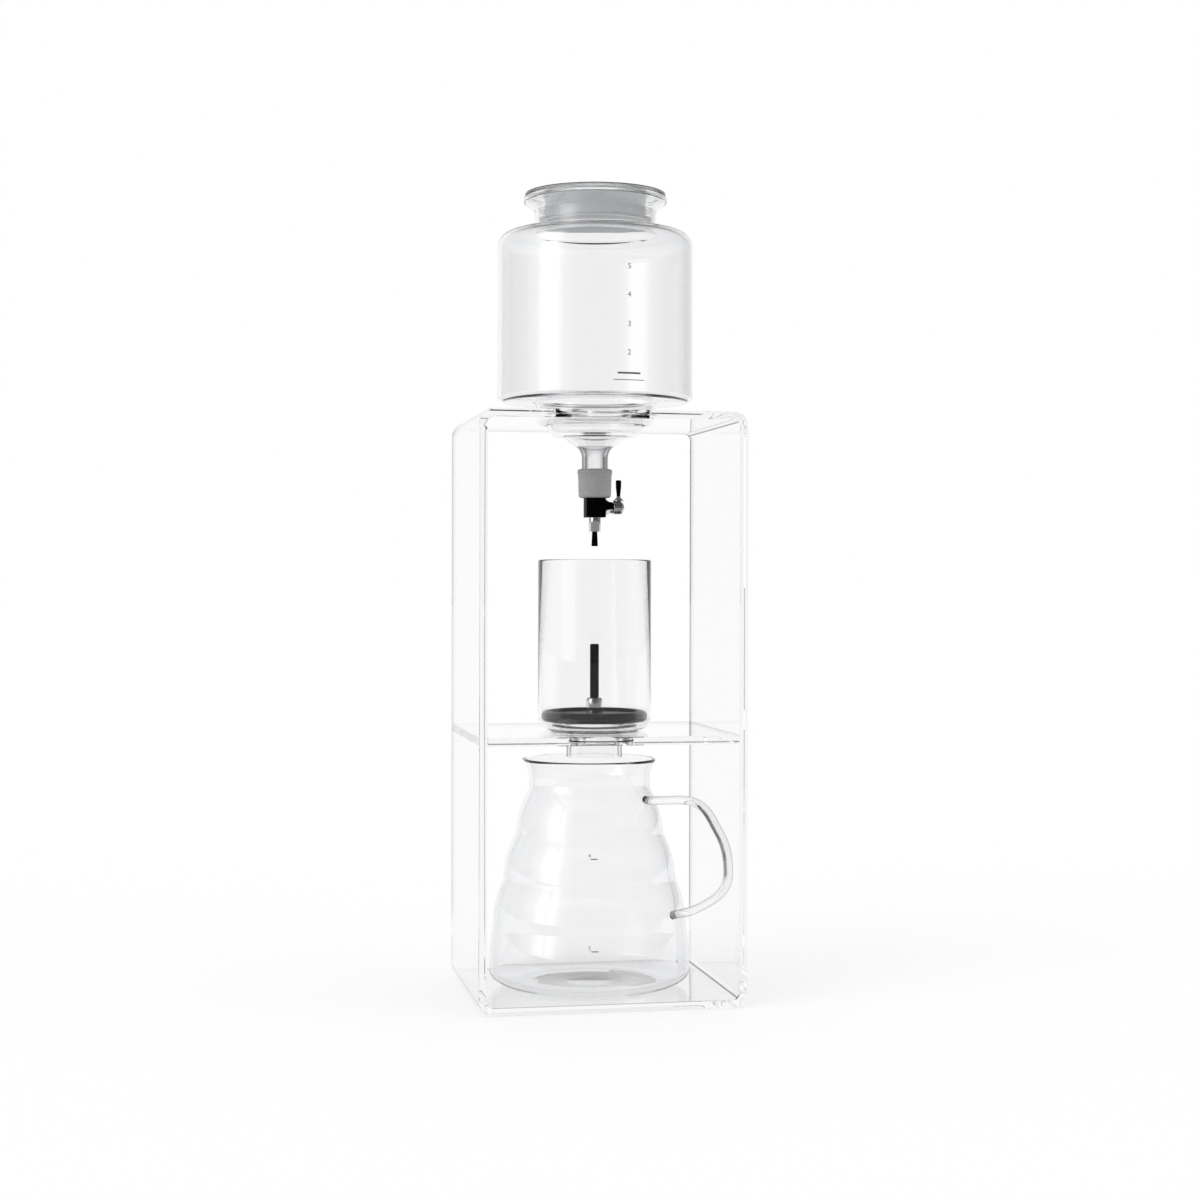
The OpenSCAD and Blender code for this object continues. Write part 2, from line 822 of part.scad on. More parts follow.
// Space that the spout may fill: outside the neck's inner wall, inside the reach and below the rim
module spout_space() {
    reach = jug_neck_r + jug_flare + spout_out;
    intersection() {
        ring(reach, jug_neck_r - jug_wall, jug_neck_z, jug_h);
        translate([0, -reach, 0])
            cube([reach, 2 * reach, 2 * jug_h]);
    }
}

// Blown glass server with rippled sides, a flared rim and a spout opposite the handle
module server_jug() {
    color("lightcyan", 0.4)
        at_server()
            difference() {
                union() {
                    turned_wall(jug_outline, jug_wall);
                    rotate([0, 0, 180])
                        intersection() {
                            spout_space();
                            spout_rod(spout_r);
                        }
                }
                rotate([0, 0, 180])
                    intersection() {
                        spout_rod(spout_r - jug_wall);
                        ring(2 * jug_r, jug_neck_r / 2, jug_neck_z, jug_h + cut);
                    }
                translate([0, 0, -cut])
                    cylinder(r = punt_r, h = punt_h + cut);
            }
}

// The server's own frame: on the base, with +X along the handle
module at_server() {
    translate([-jug_left, 0, sheet_t])
        rotate([0, 0, -handle_turn])
            children();
}

// Outer radius of the server's side at a height between the neck and the lowest notch
function jug_side_at(z) = side_r((ripple_top_z - z) / (ripple_top_z - jug_notch_z));

// Middle line of the handle, in the plane of the handle
handle_top_r = jug_side_at(handle_top_z);
handle_low_r = jug_side_at(handle_low_z);
handle_line = let (
        out = handle_reach - handle_t / 2 - handle_top_r,
        drop = handle_top_z - handle_low_z,
        last = len(handle_out_shares) - 1,
        p = concat(
            [[handle_top_r - handle_sink, handle_top_z]],
            [for (i = [1:last]) [handle_top_r + out * handle_out_shares[i],
                                 handle_top_z - drop * handle_down_shares[i]]],
            [[handle_low_r - handle_sink, handle_low_z - drop * 0.01]]
        ),
        n = len(p) - 1
    )
    concat(
        [for (i = [0:n - 1], j = [0:handle_steps - 1])
            smooth_point(p[max(i - 1, 0)], p[i], p[i + 1], p[min(i + 2, n)], j / handle_steps)],
        [p[n]]
    );

// Point at the share t of a smooth curve from b to c, whose neighbours are a and d
function smooth_point(a, b, c, d, t) =
    0.5 * (2 * b + t * (c - a) + t * t * (2 * a - 5 * b + 4 * c - d) + t * t * t * (3 * b - 3 * c + d - a));

// Glass strap of oval section along the middle line
module server_handle() {
    line = handle_line;
    last = len(line) - 1;
    points = [
        for (i = [0:last])
            let (side = i == 0 || i == last
                    ? [0, 1]
                    : let (d = unit(line[min(i + 1, last)] - line[max(i - 1, 0)])) [-d.y, d.x])
            for (k = [0:handle_sides - 1])
                let (a = 360 * k / handle_sides,
                     q = line[i] + side * handle_t / 2 * cos(a))
                [q.x, handle_w / 2 * sin(a), q.y]
    ];
    faces = concat(
        [[for (k = [0:handle_sides - 1]) k]],
        [
            for (i = [0:last - 1], k = [0:handle_sides - 1])
                let (a = i * handle_sides + k,
                     b = i * handle_sides + (k + 1) % handle_sides)
                each [[a, a + handle_sides, b], [b, a + handle_sides, b + handle_sides]]
        ],
        [[for (k = [handle_sides - 1:-1:0]) last * handle_sides + k]]
    );
    color("lightcyan", 0.5)
        at_server()
            polyhedron(points = points, faces = faces);
}

stand_frame();
shelf();
water_bowl();
bowl_outlet();
lid();
stopper();
tap_inlet();
tap_body();
tap_gland();
nozzle_sleeve();
drip_tube();
tap_key();
key_seals();
lever_collar();
lever_stem();
lever_grip();
coffee_cylinder();
filter_ring();
filter_plate();
filter_mesh();
filter_boss();
filter_rod();
filter_nut();
server_jug();
server_handle();
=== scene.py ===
"""Looks of a cold drip coffee tower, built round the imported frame.

Lengths in the classes are millimetres, and MM turns them into the frame's metres. Azimuth 0 is the
side of the open front, where the bowl's scale is, and +X is to the right of it.
"""

import logging
import math
from collections.abc import Callable, Sequence
from dataclasses import dataclass, replace
from enum import Enum
from functools import cache

import bpy
from mathutils import Matrix, Vector


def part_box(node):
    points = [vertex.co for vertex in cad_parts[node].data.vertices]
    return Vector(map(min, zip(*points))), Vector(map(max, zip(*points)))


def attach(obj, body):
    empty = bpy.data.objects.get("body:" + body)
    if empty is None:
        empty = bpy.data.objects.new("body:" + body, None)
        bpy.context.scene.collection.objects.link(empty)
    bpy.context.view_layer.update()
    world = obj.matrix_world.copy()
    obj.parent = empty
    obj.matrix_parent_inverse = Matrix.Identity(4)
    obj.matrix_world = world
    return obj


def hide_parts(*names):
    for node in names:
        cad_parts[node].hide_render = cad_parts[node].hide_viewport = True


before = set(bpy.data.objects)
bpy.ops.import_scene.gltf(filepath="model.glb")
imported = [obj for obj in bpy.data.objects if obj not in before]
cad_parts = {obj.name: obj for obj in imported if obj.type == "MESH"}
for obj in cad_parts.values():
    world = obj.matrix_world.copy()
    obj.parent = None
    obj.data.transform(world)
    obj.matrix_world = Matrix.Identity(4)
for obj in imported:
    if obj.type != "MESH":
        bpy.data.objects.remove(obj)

LOG = logging.getLogger("tower")
MM = 0.001
FULL_TURN = 2.0 * math.pi
MERGE_GAP = 0.002 * MM

Point = tuple[float, float]
Triple = tuple[float, float, float]
Colour = Triple
Mesh = bpy.types.Object
Chooser = Callable[[Vector, Vector], bool]
Value = float | Sequence[float] | bpy.types.NodeSocket


class Axis(Enum):
    """The axis that a turned piece is spun about."""

    X = "x"
    Z = "z"


# Small helpers for outlines, in millimetres


def unit(a: Point, b: Point) -> Point:
    """Direction from a to b, one long."""
    length = math.dist(a, b)
    return (b[0] - a[0]) / length, (b[1] - a[1]) / length


def arc_corner(a: Point, p: Point, b: Point, radius: float, steps: int) -> list[Point]:
    """Arc that rounds the corner p.

    Args:
        a: Neighbour before the corner.
        p: The corner.
        b: Neighbour after the corner.
        radius: Radius of the arc.
        steps: Number of stretches in the arc.

    Returns:
        The arc's points, from the side of a to the side of b.
    """
    ux, uy = unit(p, a)
    vx, vy = unit(p, b)
    half = math.acos(max(-1.0, min(1.0, ux * vx + uy * vy))) / 2
    mx, my = unit((0.0, 0.0), (ux + vx, uy + vy))
    cx, cy = p[0] + mx * radius / math.sin(half), p[1] + my * radius / math.sin(half)
    back = radius / math.tan(half)
    start = math.atan2(p[1] + uy * back - cy, p[0] + ux * back - cx)
    end = math.atan2(p[1] + vy * back - cy, p[0] + vx * back - cx)
    sweep = (end - start + 3 * math.pi) % FULL_TURN - math.pi
    turns = [start + sweep * i / steps for i in range(steps + 1)]
    return [(cx + radius * math.cos(t), cy + radius * math.sin(t)) for t in turns]


def rounded(corners: Sequence[Triple], steps: int = 10) -> list[Point]:
    """Outline through corners, each with its own rounding.

    Args:
        corners: Radius, height and rounding of each corner.
        steps: Number of stretches in each arc.

    Returns:
        The outline's points.
    """
    points: list[Point] = []
    last = len(corners) - 1
    for i, (x, y, radius) in enumerate(corners):
        if radius == 0 or i in (0, last):
            points.append((x, y))
        else:
            points += arc_corner(corners[i - 1][:2], (x, y), corners[i + 1][:2], radius, steps)
    return points


def parallel(points: Sequence[Point], offset: float) -> list[Point]:
    """The outline moved sideways.

    Args:
        points: The outline.
        offset: Distance to the right-hand side of the direction of travel.

    Returns:
        The moved outline.
    """
    last = len(points) - 1
    moved = []
    for i, (x, y) in enumerate(points):
        ax, ay = unit(points[max(i - 1, 0)], points[max(i, 1)])
        bx, by = unit(points[min(i, last - 1)], points[min(i + 1, last)])
        share = offset / (1 + ax * bx + ay * by)
        moved.append((x + share * (ay + by), y - share * (ax + bx)))
    return moved


def rim_arc(points: Sequence[Point], wall: float, steps: int = 8) -> list[Point]:
    """Half round over the start of a wall.

    Args:
        points: The wall's outer outline, from its rim down.
        wall: Thickness of the wall.
        steps: Number of stretches in the half round.

    Returns:
        Points from the inner side of the rim to the outer side.
    """
    dx, dy = unit(points[0], points[1])
    x, y = points[0]
    turns = [math.pi * i / steps for i in range(1, steps)]
    return [(x + wall / 2 * (dy * (1 + math.cos(t)) - dx * math.sin(t)),
             y + wall / 2 * (-dx * (1 + math.cos(t)) - dy * math.sin(t))) for t in turns]


def wall_outline(points: Sequence[Point], wall: float) -> list[Point]:
    """Closed outline of a wall with a fire-polished rim, from its outer outline and its thickness."""
    return rim_arc(points, wall) + list(points) + list(reversed(parallel(points, wall)))


# Modelling helpers


def deselect() -> None:
    """Deselects every object."""
    bpy.ops.object.select_all(action="DESELECT")


def activate(piece: Mesh) -> None:
    """Makes a piece the active object, and the only selected one.

    Args:
        piece: The piece.
    """
    deselect()
    piece.select_set(True)
    bpy.context.view_layer.objects.active = piece


def in_edit_mode(work: Callable[[], None]) -> None:
    """Runs work in edit mode on the active object, with everything selected.

    Args:
        work: The operators to run.
    """
    bpy.ops.object.mode_set(mode="EDIT")
    bpy.ops.mesh.select_all(action="SELECT")
    work()
    bpy.ops.object.mode_set(mode="OBJECT")


def settle(piece: Mesh, name: str, smooth_angle: float = 40.0) -> Mesh:
    """Gives a piece its name and shading, with its place in its mesh.

    Args:
        piece: The new piece.
        name: Its name.
        smooth_angle: Faces that meet under this angle, in degrees, are shaded smooth.

    Returns:
        The piece.
    """
    activate(piece)
    bpy.ops.object.transform_apply(location=True, rotation=True, scale=True)
    bpy.ops.object.shade_smooth_by_angle(angle=math.radians(smooth_angle))
    piece.name = piece.data.name = name
    return piece


def block(low: Vector, high: Vector) -> Mesh:
    """A box.

    Args:
        low: Its lowest corner, in millimetres.
        high: Its highest corner.

    Returns:
        The box.
    """
    deselect()
    bpy.ops.mesh.primitive_cube_add(size=1.0, location=tuple((high + low) / 2 * MM),
                                    scale=tuple((high - low) * MM))
    bpy.ops.object.transform_apply(location=True, rotation=True, scale=True)
    return bpy.context.active_object


def clean_shell() -> None:
    """Merges doubles and points all faces outwards."""
    bpy.ops.mesh.remove_doubles(threshold=MERGE_GAP)
    bpy.ops.mesh.dissolve_degenerate(threshold=MERGE_GAP / 2)
    bpy.ops.mesh.select_all(action="SELECT")
    bpy.ops.mesh.normals_make_consistent(inside=False)


def turned(name: str, outline: Sequence[Point], axis: Axis = Axis.Z, centre: Triple = (0, 0, 0),
           steps: int = 96, smooth_angle: float = 40.0) -> Mesh:
    """Spins a closed outline about an axis.

    Args:
        name: The piece's name.
        outline: Radius and place along the axis of each point, in millimetres.
        axis: The axis of the spin.
        centre: A point on the axis, in millimetres, from which places along it count.
        steps: Number of stretches round the axis.
        smooth_angle: Faces that meet under this angle are shaded smooth.

    Returns:
        The new piece.
    """
    deselect()
    bpy.ops.mesh.primitive_circle_add(vertices=len(outline), radius=1.0, location=(0, 0, 0))
    piece = bpy.context.active_object
    for vertex, (radius, along) in zip(piece.data.vertices, outline):
        place = (radius, 0.0, along) if axis is Axis.Z else (along, 0.0, radius)
        vertex.co = (Vector(place) + Vector(centre)) * MM
    spin_axis = (0, 0, 1) if axis is Axis.Z else (1, 0, 0)

    def spin() -> None:
        """Spins the outline and closes its seam."""
        bpy.ops.mesh.spin(steps=steps, angle=FULL_TURN, center=tuple(Vector(centre) * MM), axis=spin_axis)
        bpy.ops.mesh.select_all(action="SELECT")
        clean_shell()

    in_edit_mode(spin)
    return settle(piece, name, smooth_angle)


def apply_modifiers(piece: Mesh) -> None:
    """Applies every modifier of a piece, in order.

    Args:
        piece: The piece.
    """
    activate(piece)
    for modifier in list(piece.modifiers):
        bpy.ops.object.modifier_apply(modifier=modifier.name)


def bevelled(piece: Mesh, width: float, segments: int, limit: float) -> None:
    """Breaks the sharp edges of a piece.

    Args:
        piece: The piece.
        width: Width of the broken edges, in millimetres.
        segments: Steps across each of them.
        limit: Angle, in degrees, from which an edge is sharp.
    """
    bevel = piece.modifiers.new("broken_edges", "BEVEL")
    bevel.width = width * MM
    bevel.segments = segments
    bevel.limit_method = "ANGLE"
    bevel.angle_limit = math.radians(limit)
    apply_modifiers(piece)


def softened(node: str, name: str, width: float) -> Mesh:
    """A copy of a CAD node whose sharp edges are broken.

    Args:
        node: The CAD node.
        name: The new piece's name.
        width: Width of the broken edges, in millimetres.

    Returns:
        The new piece, which replaces the node.
    """
    piece = bpy.data.objects.new(name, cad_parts[node].data.copy())
    bpy.context.scene.collection.objects.link(piece)
    piece.data.materials.clear()
    activate(piece)
    if piece.data.has_custom_normals:
        bpy.ops.mesh.customdata_custom_splitnormals_clear()

    def merge() -> None:
        """Merges the loose triangles and joins those that lie in one plane."""
        bpy.ops.mesh.remove_doubles(threshold=MERGE_GAP)
        bpy.ops.mesh.dissolve_limited(angle_limit=math.radians(1.0))

    in_edit_mode(merge)
    bevelled(piece, width, segments=2, limit=35.0)
    settle(piece, name, smooth_angle=30.0)
    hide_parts(node)
    return piece


def cut_with(piece: Mesh, cutter: Mesh) -> None:
    """Cuts a shape out of a piece and deletes the cutter.

    Args:
        piece: The piece that is cut.
        cutter: The shape that is taken away.
    """
    boolean = piece.modifiers.new("cut", "BOOLEAN")
    boolean.operation = "DIFFERENCE"
    boolean.solver = "EXACT"
    boolean.object = cutter
    apply_modifiers(piece)
    bpy.data.objects.remove(cutter)


def finished(piece: Mesh, finish: "Finish", body: str, slot: str, *nodes: str) -> Mesh:
    """Dresses a piece and sets it on its body.

    Args:
        piece: The piece.
        finish: Its finish.
        body: The CAD body that it moves with.
        slot: Name of a material slot, which is not used.
        *nodes: The CAD nodes that it stands for.

    Returns:
        The piece.
    """
    piece.data.materials.append(finish.material())
    if nodes:
        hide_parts(*nodes)
    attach(piece, body)
    LOG.info("%s: %d faces, on %s", piece.name, len(piece.data.polygons), body)
    return piece


def second_finish(piece: Mesh, finish: "Finish", chosen: Chooser) -> None:
    """Gives some faces of a finished piece another finish.

    Args:
        piece: The piece.
        finish: The finish of the chosen faces.
        chosen: Tells from a face's middle, in millimetres, and its normal whether it is chosen.
    """
    piece.data.materials.append(finish.material())
    slot = len(piece.data.materials) - 1
    for face in piece.data.polygons:
        if chosen(face.center / MM, face.normal):
            face.material_index = slot


def dress_node(node: str, finish: "Finish") -> None:
    """Gives a CAD node that stays in sight its finish.

    Args:
        node: The node.
        finish: Its finish.
    """
    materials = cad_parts[node].data.materials
    materials.clear()
    materials.append(finish.material())
    LOG.info("%s: CAD node dressed", node)


def low_high(node: str) -> tuple[Vector, Vector]:
    """Lowest and highest corner of a CAD node's box, in millimetres."""
    low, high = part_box(node)
    return low / MM, high / MM


# Shader nodes


class Graph:
    """A shader node tree, with short ways to fill it."""

    def __init__(self, tree: bpy.types.ShaderNodeTree) -> None:
        """Starts on a tree."""
        self.nodes, self.links = tree.nodes, tree.links

    def feed(self, socket: bpy.types.NodeSocket, value: Value) -> None:
        """Fills a socket.

        Args:
            socket: The socket.
            value: What is linked to it, or its plain value.
        """
        if isinstance(value, bpy.types.NodeSocket):
            self.links.new(value, socket)
        else:
            socket.default_value = value

    def fill(self, node: bpy.types.ShaderNode, inputs: dict[str, Value]) -> None:
        """Fills inputs of a node, with _ for a space in their names."""
        for label, value in inputs.items():
            self.feed(node.inputs[label.replace("_", " ")], value)

    def add(self, kind: str, **inputs: Value) -> bpy.types.ShaderNode:
        """Adds a node.

        Args:
            kind: The node's type, without its prefix.
            **inputs: What fills its inputs.

        Returns:
            The node.
        """
        node = self.nodes.new("ShaderNode" + kind)
        self.fill(node, inputs)
        return node

    def group(self, tree: bpy.types.ShaderNodeTree, **inputs: Value) -> bpy.types.NodeOutputs:
        """Places a group.

        Args:
            tree: The group.
            **inputs: What fills its inputs.

        Returns:
            Its outputs.
        """
        node = self.add("Group")
        node.node_tree = tree
        self.fill(node, inputs)
        return node.outputs

    def place(self, kind: str = "Object") -> bpy.types.NodeSocket:
        """Texture coordinates of one kind."""
        return self.add("TexCoord").outputs[kind]

    def math(self, operation: str, *values: Value) -> bpy.types.NodeSocket:
        """A sum on sockets or plain numbers.

        Args:
            operation: The Math node's operation.
            *values: Its inputs, in order.

        Returns:
            Its result.
        """
        node = self.add("Math")
        node.operation = operation
        for socket, value in zip(node.inputs, values):
            self.feed(socket, value)
        return node.outputs["Value"]

    def soft_step(self, value: Value, across: Point, levels: Point) -> bpy.types.NodeSocket:
        """A soft step from one level to another, while a value crosses a range.

        Args:
            value: The value.
            across: The range.
            levels: The level before it and the level after it.

        Returns:
            The level.
        """
        node = self.add("MapRange", Value=value, From_Min=across[0], From_Max=across[1],
                        To_Min=levels[0], To_Max=levels[1])
        node.interpolation_type = "SMOOTHSTEP"
        return node.outputs["Result"]

    def ramp(self, factor: Value, stops: Sequence[tuple[float, Colour]],
             interpolation: str = "LINEAR") -> bpy.types.NodeSocket:
        """A colour ramp.

        Args:
            factor: What it reads.
            stops: Place and colour of each stop, in order.
            interpolation: How it passes from stop to stop.

        Returns:
            Its colour.
        """
        node = self.add("ValToRGB", Fac=factor)
        node.color_ramp.interpolation = interpolation
        elements = node.color_ramp.elements
        elements[0].position, elements[1].position = stops[0][0], stops[-1][0]
        for place, _ in stops[1:-1]:
            elements.new(place)
        for element, (_, colour) in zip(elements, stops):
            element.color = (*colour, 1.0)
        return node.outputs["Color"]


class GroupGraph(Graph):
    """A new shader node group with number inputs and outputs."""

    def __init__(self, name: str, inputs: dict[str, float]) -> None:
        """Starts an empty group.

        Args:
            name: The group's name.
            inputs: Name and default of each input.
        """
        self.tree = bpy.data.node_groups.new(name, "ShaderNodeTree")
        super().__init__(self.tree)
        for label, default in inputs.items():
            socket = self.tree.interface.new_socket(label, in_out="INPUT", socket_type="NodeSocketFloat")
            socket.default_value = default
        self.given = self.nodes.new("NodeGroupInput").outputs

    def give(self, **outputs: bpy.types.NodeSocket) -> bpy.types.ShaderNodeTree:
        """Ends the group.

        Args:
            **outputs: What feeds each output.

        Returns:
            The group.
        """
        for label in outputs:
            self.tree.interface.new_socket(label, in_out="OUTPUT", socket_type="NodeSocketFloat")
        self.fill(self.nodes.new("NodeGroupOutput"), outputs)
        return self.tree


@cache
def smudge_group() -> bpy.types.ShaderNodeTree:
    """Soft patches of handling and water marks.

    Returns:
        A group with the outputs Roughness and Height.
    """
    graph = GroupGraph("smudges", {"Scale": 40.0, "Low": 0.1, "High": 0.2})
    given = graph.given
    broad = graph.add("TexNoise", Vector=graph.place(), Scale=given["Scale"], Detail=4.0, Roughness=0.6)
    spread = graph.add("MapRange", Value=broad.outputs["Fac"], From_Min=0.35, From_Max=0.7,
                       To_Min=given["Low"], To_Max=given["High"])
    return graph.give(Roughness=spread.outputs["Result"], Height=broad.outputs["Fac"])


@cache
def grain_group() -> bpy.types.ShaderNodeTree:
    """Fine grain, drawn out along one direction by its stretch.

    Returns:
        A group with the outputs Mask and Height.
    """
    graph = GroupGraph("grain", {"Scale": 900.0, "StretchX": 1.0, "StretchY": 1.0, "StretchZ": 1.0})
    stretch = graph.add("CombineXYZ", **{axis: graph.given["Stretch" + axis] for axis in "XYZ"})
    scaled = graph.add("VectorMath")
    scaled.operation = "MULTIPLY"
    graph.feed(scaled.inputs[0], graph.place())
    graph.feed(scaled.inputs[1], stretch.outputs["Vector"])
    fine = graph.add("TexNoise", Vector=scaled.outputs["Vector"], Scale=graph.given["Scale"], Detail=3.0,
                     Roughness=0.7)
    contrast = graph.add("MapRange", Value=fine.outputs["Fac"], From_Min=0.3, From_Max=0.7)
    return graph.give(Mask=contrast.outputs["Result"], Height=fine.outputs["Fac"])


@cache
def weave_group() -> bpy.types.ShaderNodeTree:
    """Plain weave of round wires across X and Y.

    Returns:
        A group with the outputs Mask, which is 1 on a wire's crown, and Height.
    """
    graph = GroupGraph("wire_weave", {"Pitch": 0.0006})
    split = graph.add("SeparateXYZ", Vector=graph.place())
    turns = [graph.math("DIVIDE", split.outputs[axis], graph.given["Pitch"]) for axis in "XY"]
    waves = [graph.math("COSINE", graph.math("MULTIPLY", turn, FULL_TURN)) for turn in turns]
    mask = graph.add("MapRange", Value=graph.math("MULTIPLY", *waves), From_Min=-1.0).outputs["Result"]
    return graph.give(Mask=mask, Height=mask)


class Sheet(Graph):
    """A new material's node tree, with one Principled shader."""

    def __init__(self, name: str) -> None:
        """Starts a material of that name."""
        self.material = bpy.data.materials.new(name)
        self.material.use_nodes = True
        super().__init__(self.material.node_tree)

    def set(self, **inputs: Value) -> None:
        """Fills inputs of the shader, with _ for a space in their names."""
        self.fill(self.nodes["Principled BSDF"], inputs)

    def bump(self, height: bpy.types.NodeSocket, strength: float, depth: float) -> None:
        """Feeds a height into the shader's normal, with its depth in millimetres."""
        bump = self.add("Bump", Height=height, Strength=strength, Distance=depth * MM)
        self.set(Normal=bump.outputs["Normal"])


# Finishes


@dataclass(frozen=True)
class Finish:
    """A named finish, whose material is made once, by the dress method of its kind."""

    name: str

    @cache
    def material(self) -> bpy.types.Material:
        """The material, made the first time that it is asked for.

        Returns:
            The material.
        """
        sheet = Sheet(self.name)
        self.dress(sheet)
        return sheet.material


@dataclass(frozen=True)
class ClearFinish(Finish):
    """Clear glass or acrylic, whose tint deepens where it is seen along its wall, partly as the longer path
    through it and partly as painted shade for the dark outlines that refraction gives.
    """

    face: Colour
    side: Colour
    edge: Colour
    ior: float = 1.47
    waviness: float = 0.02
    wave_scale: float = 25.0
    side_at: float = 0.6
    edge_at: float = 0.95
    roughness: float = 0.0

    def dress(self, sheet: Sheet) -> None:
        """Fills the material's sheet.

        Args:
            sheet: The sheet.
        """
        # Painted shade: the side and edge colours, read by Layer Weight at grazing views, darken the
        # silhouettes as refraction of dark surroundings would.
        facing = sheet.add("LayerWeight", Blend=0.5).outputs["Facing"]
        tint = sheet.ramp(facing, ((0.0, self.face), (self.side_at, self.side), (self.edge_at, self.edge)))
        sheet.set(Transmission_Weight=1.0, IOR=self.ior, Roughness=self.roughness, Base_Color=tint)
        waves = sheet.group(smudge_group(), Scale=self.wave_scale)["Height"]
        sheet.bump(waves, strength=self.waviness, depth=1.0)


@dataclass(frozen=True)
class MouldedFinish(Finish):
    """Moulded plastic, rubber or silicone with a fine grain and handling marks."""

    light: Colour
    dark: Colour
    smooth: float
    dull: float
    translucency: float = 0.0
    specular: float = 0.5
    metallic: float = 0.0
    mark_scale: float = 60.0
    grain_scale: float = 1500.0
    stretch: Triple = (1.0, 1.0, 1.0)
    grain_strength: float = 0.4
    grain_depth: float = 0.02

    def dress(self, sheet: Sheet) -> None:
        """Fills the material's sheet.

        Args:
            sheet: The sheet.
        """
        x, y, z = self.stretch
        grain = sheet.group(grain_group(), Scale=self.grain_scale, StretchX=x, StretchY=y, StretchZ=z)
        marks = sheet.group(smudge_group(), Scale=self.mark_scale, Low=self.smooth, High=self.dull)
        sheet.set(Transmission_Weight=self.translucency, Specular_IOR_Level=self.specular,
                  Base_Color=sheet.ramp(grain["Mask"], ((0.0, self.dark), (1.0, self.light))),
                  Metallic=self.metallic, Roughness=marks["Roughness"])
        sheet.bump(grain["Height"], strength=self.grain_strength, depth=self.grain_depth)


@dataclass(frozen=True)
class MetalFinish(MouldedFinish):
    """Polished or brushed metal, whose grain is fine drawn lines."""

    metallic: float = 1.0
    mark_scale: float = 90.0
    grain_strength: float = 0.3
    grain_depth: float = 0.01


@dataclass(frozen=True)
class WovenFinish(Finish):
    """Fine woven wire cloth, with painted shade: the gaps between the wires are near black."""

    crown: Colour
    gap: Colour
    pitch: float
    roughness: float = 0.35

    def dress(self, sheet: Sheet) -> None:
        """Fills the material's sheet.

        Args:
            sheet: The sheet.
        """
        weave = sheet.group(weave_group(), Pitch=self.pitch * MM)
        sheet.set(Metallic=1.0, Roughness=self.roughness,
                  # Painted shade: the gaps between the wires take the near-black colour, the crowns the
                  # lighter one.
                  Base_Color=sheet.ramp(weave["Mask"], ((0.3, self.gap), (0.7, self.crown))))
        sheet.bump(weave["Height"], strength=0.6, depth=self.pitch / 4)


@dataclass(frozen=True)
class FrameFinish(Finish):
    """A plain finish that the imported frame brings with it."""

    def material(self) -> bpy.types.Material:
        """The frame's own material of that name."""
        return bpy.data.materials[self.name]


# In these clear finishes the side and edge colours are partly painted shade, for the dark outlines that
# refraction gives at grazing views.
CLEAR_GLASS = ClearFinish("clear_glass", (0.985, 0.986, 0.989), (0.95, 0.953, 0.96), (0.7, 0.71, 0.725),
                          side_at=0.55)
THIN_GLASS = ClearFinish("thin_glass", (0.99, 0.991, 0.992), (0.975, 0.977, 0.98), (0.8, 0.806, 0.815))
# Near-black edge colour, painted shade for the outlet's dark outlines.
OUTLET_PAINTED_OUTLINE = ClearFinish("outlet_painted_outline", (0.975, 0.977, 0.98), (0.92, 0.925, 0.93), (0.05, 0.052, 0.056),
                          waviness=0.0, side_at=0.55, edge_at=0.72)
# The stem's thick glass, whose near-black edge colour is painted shade for its dark outlines.
THICK_STEM_PAINTED_EDGE = ClearFinish("thick_stem_painted_edge", (0.97, 0.971, 0.973), (0.6, 0.605, 0.62), (0.08, 0.082, 0.09),
                          wave_scale=60.0, side_at=0.3, edge_at=0.55)
# The strap's solid glass, whose near-black edge colour is painted shade for its dark outlines.
SOLID_GLASS = ClearFinish("solid_glass", (0.98, 0.981, 0.983), (0.85, 0.855, 0.865), (0.12, 0.125, 0.13),
                          wave_scale=60.0, side_at=0.45, edge_at=0.85)
FOOT_GLASS = ClearFinish("foot_glass", (0.98, 0.981, 0.984), (0.96, 0.963, 0.968), (0.9, 0.905, 0.915),
                         roughness=0.35)
# Dark strap glass, painted shade for the dark streak inside the handle's curve.
STRAP_PAINTED_SHADE = ClearFinish("strap_painted_shade", (0.32, 0.325, 0.335), (0.1, 0.102, 0.108), (0.04, 0.041, 0.044),
                           wave_scale=60.0, side_at=0.4, edge_at=0.8)
CLEAR_ACRYLIC = ClearFinish("clear_acrylic", (0.965, 0.967, 0.972), (0.95, 0.953, 0.96), (0.88, 0.885, 0.895),
                            ior=1.49, waviness=0.0, wave_scale=8.0)
# Near-black strip, painted shade for the dark line inside each bend of the acrylic.
BEND_PAINTED_SHADE = ClearFinish("bend_painted_shade", (0.1, 0.1, 0.105), (0.08, 0.08, 0.085), (0.06, 0.06, 0.065),
                     ior=1.49, waviness=0.0, wave_scale=8.0)
PALE_PLASTIC = ClearFinish("pale_plastic", (0.95, 0.958, 0.962), (0.9, 0.91, 0.915), (0.7, 0.72, 0.73),
                           ior=1.4, waviness=0.0, roughness=0.12)
FROSTED_PLASTIC = MouldedFinish("frosted_plastic", (0.93, 0.955, 0.965), (0.9, 0.925, 0.935), 0.2, 0.32,
                                translucency=0.02, grain_depth=0.002)
# Near-black, painted reflection on the upper part of the lid's flange edge.
RIM_PAINTED_REFLECTION = MouldedFinish("rim_painted_reflection", (0.1, 0.1, 0.105), (0.07, 0.07, 0.075), 0.25, 0.35, grain_depth=0.002)
GREY_SILICONE = MouldedFinish("grey_silicone", (0.72, 0.735, 0.715), (0.61, 0.625, 0.605), 0.5, 0.65,
                              translucency=0.05, grain_scale=700.0, grain_depth=0.05)
BLACK_SILICONE = MouldedFinish("black_silicone", (0.065, 0.064, 0.063), (0.04, 0.039, 0.038), 0.4, 0.55)
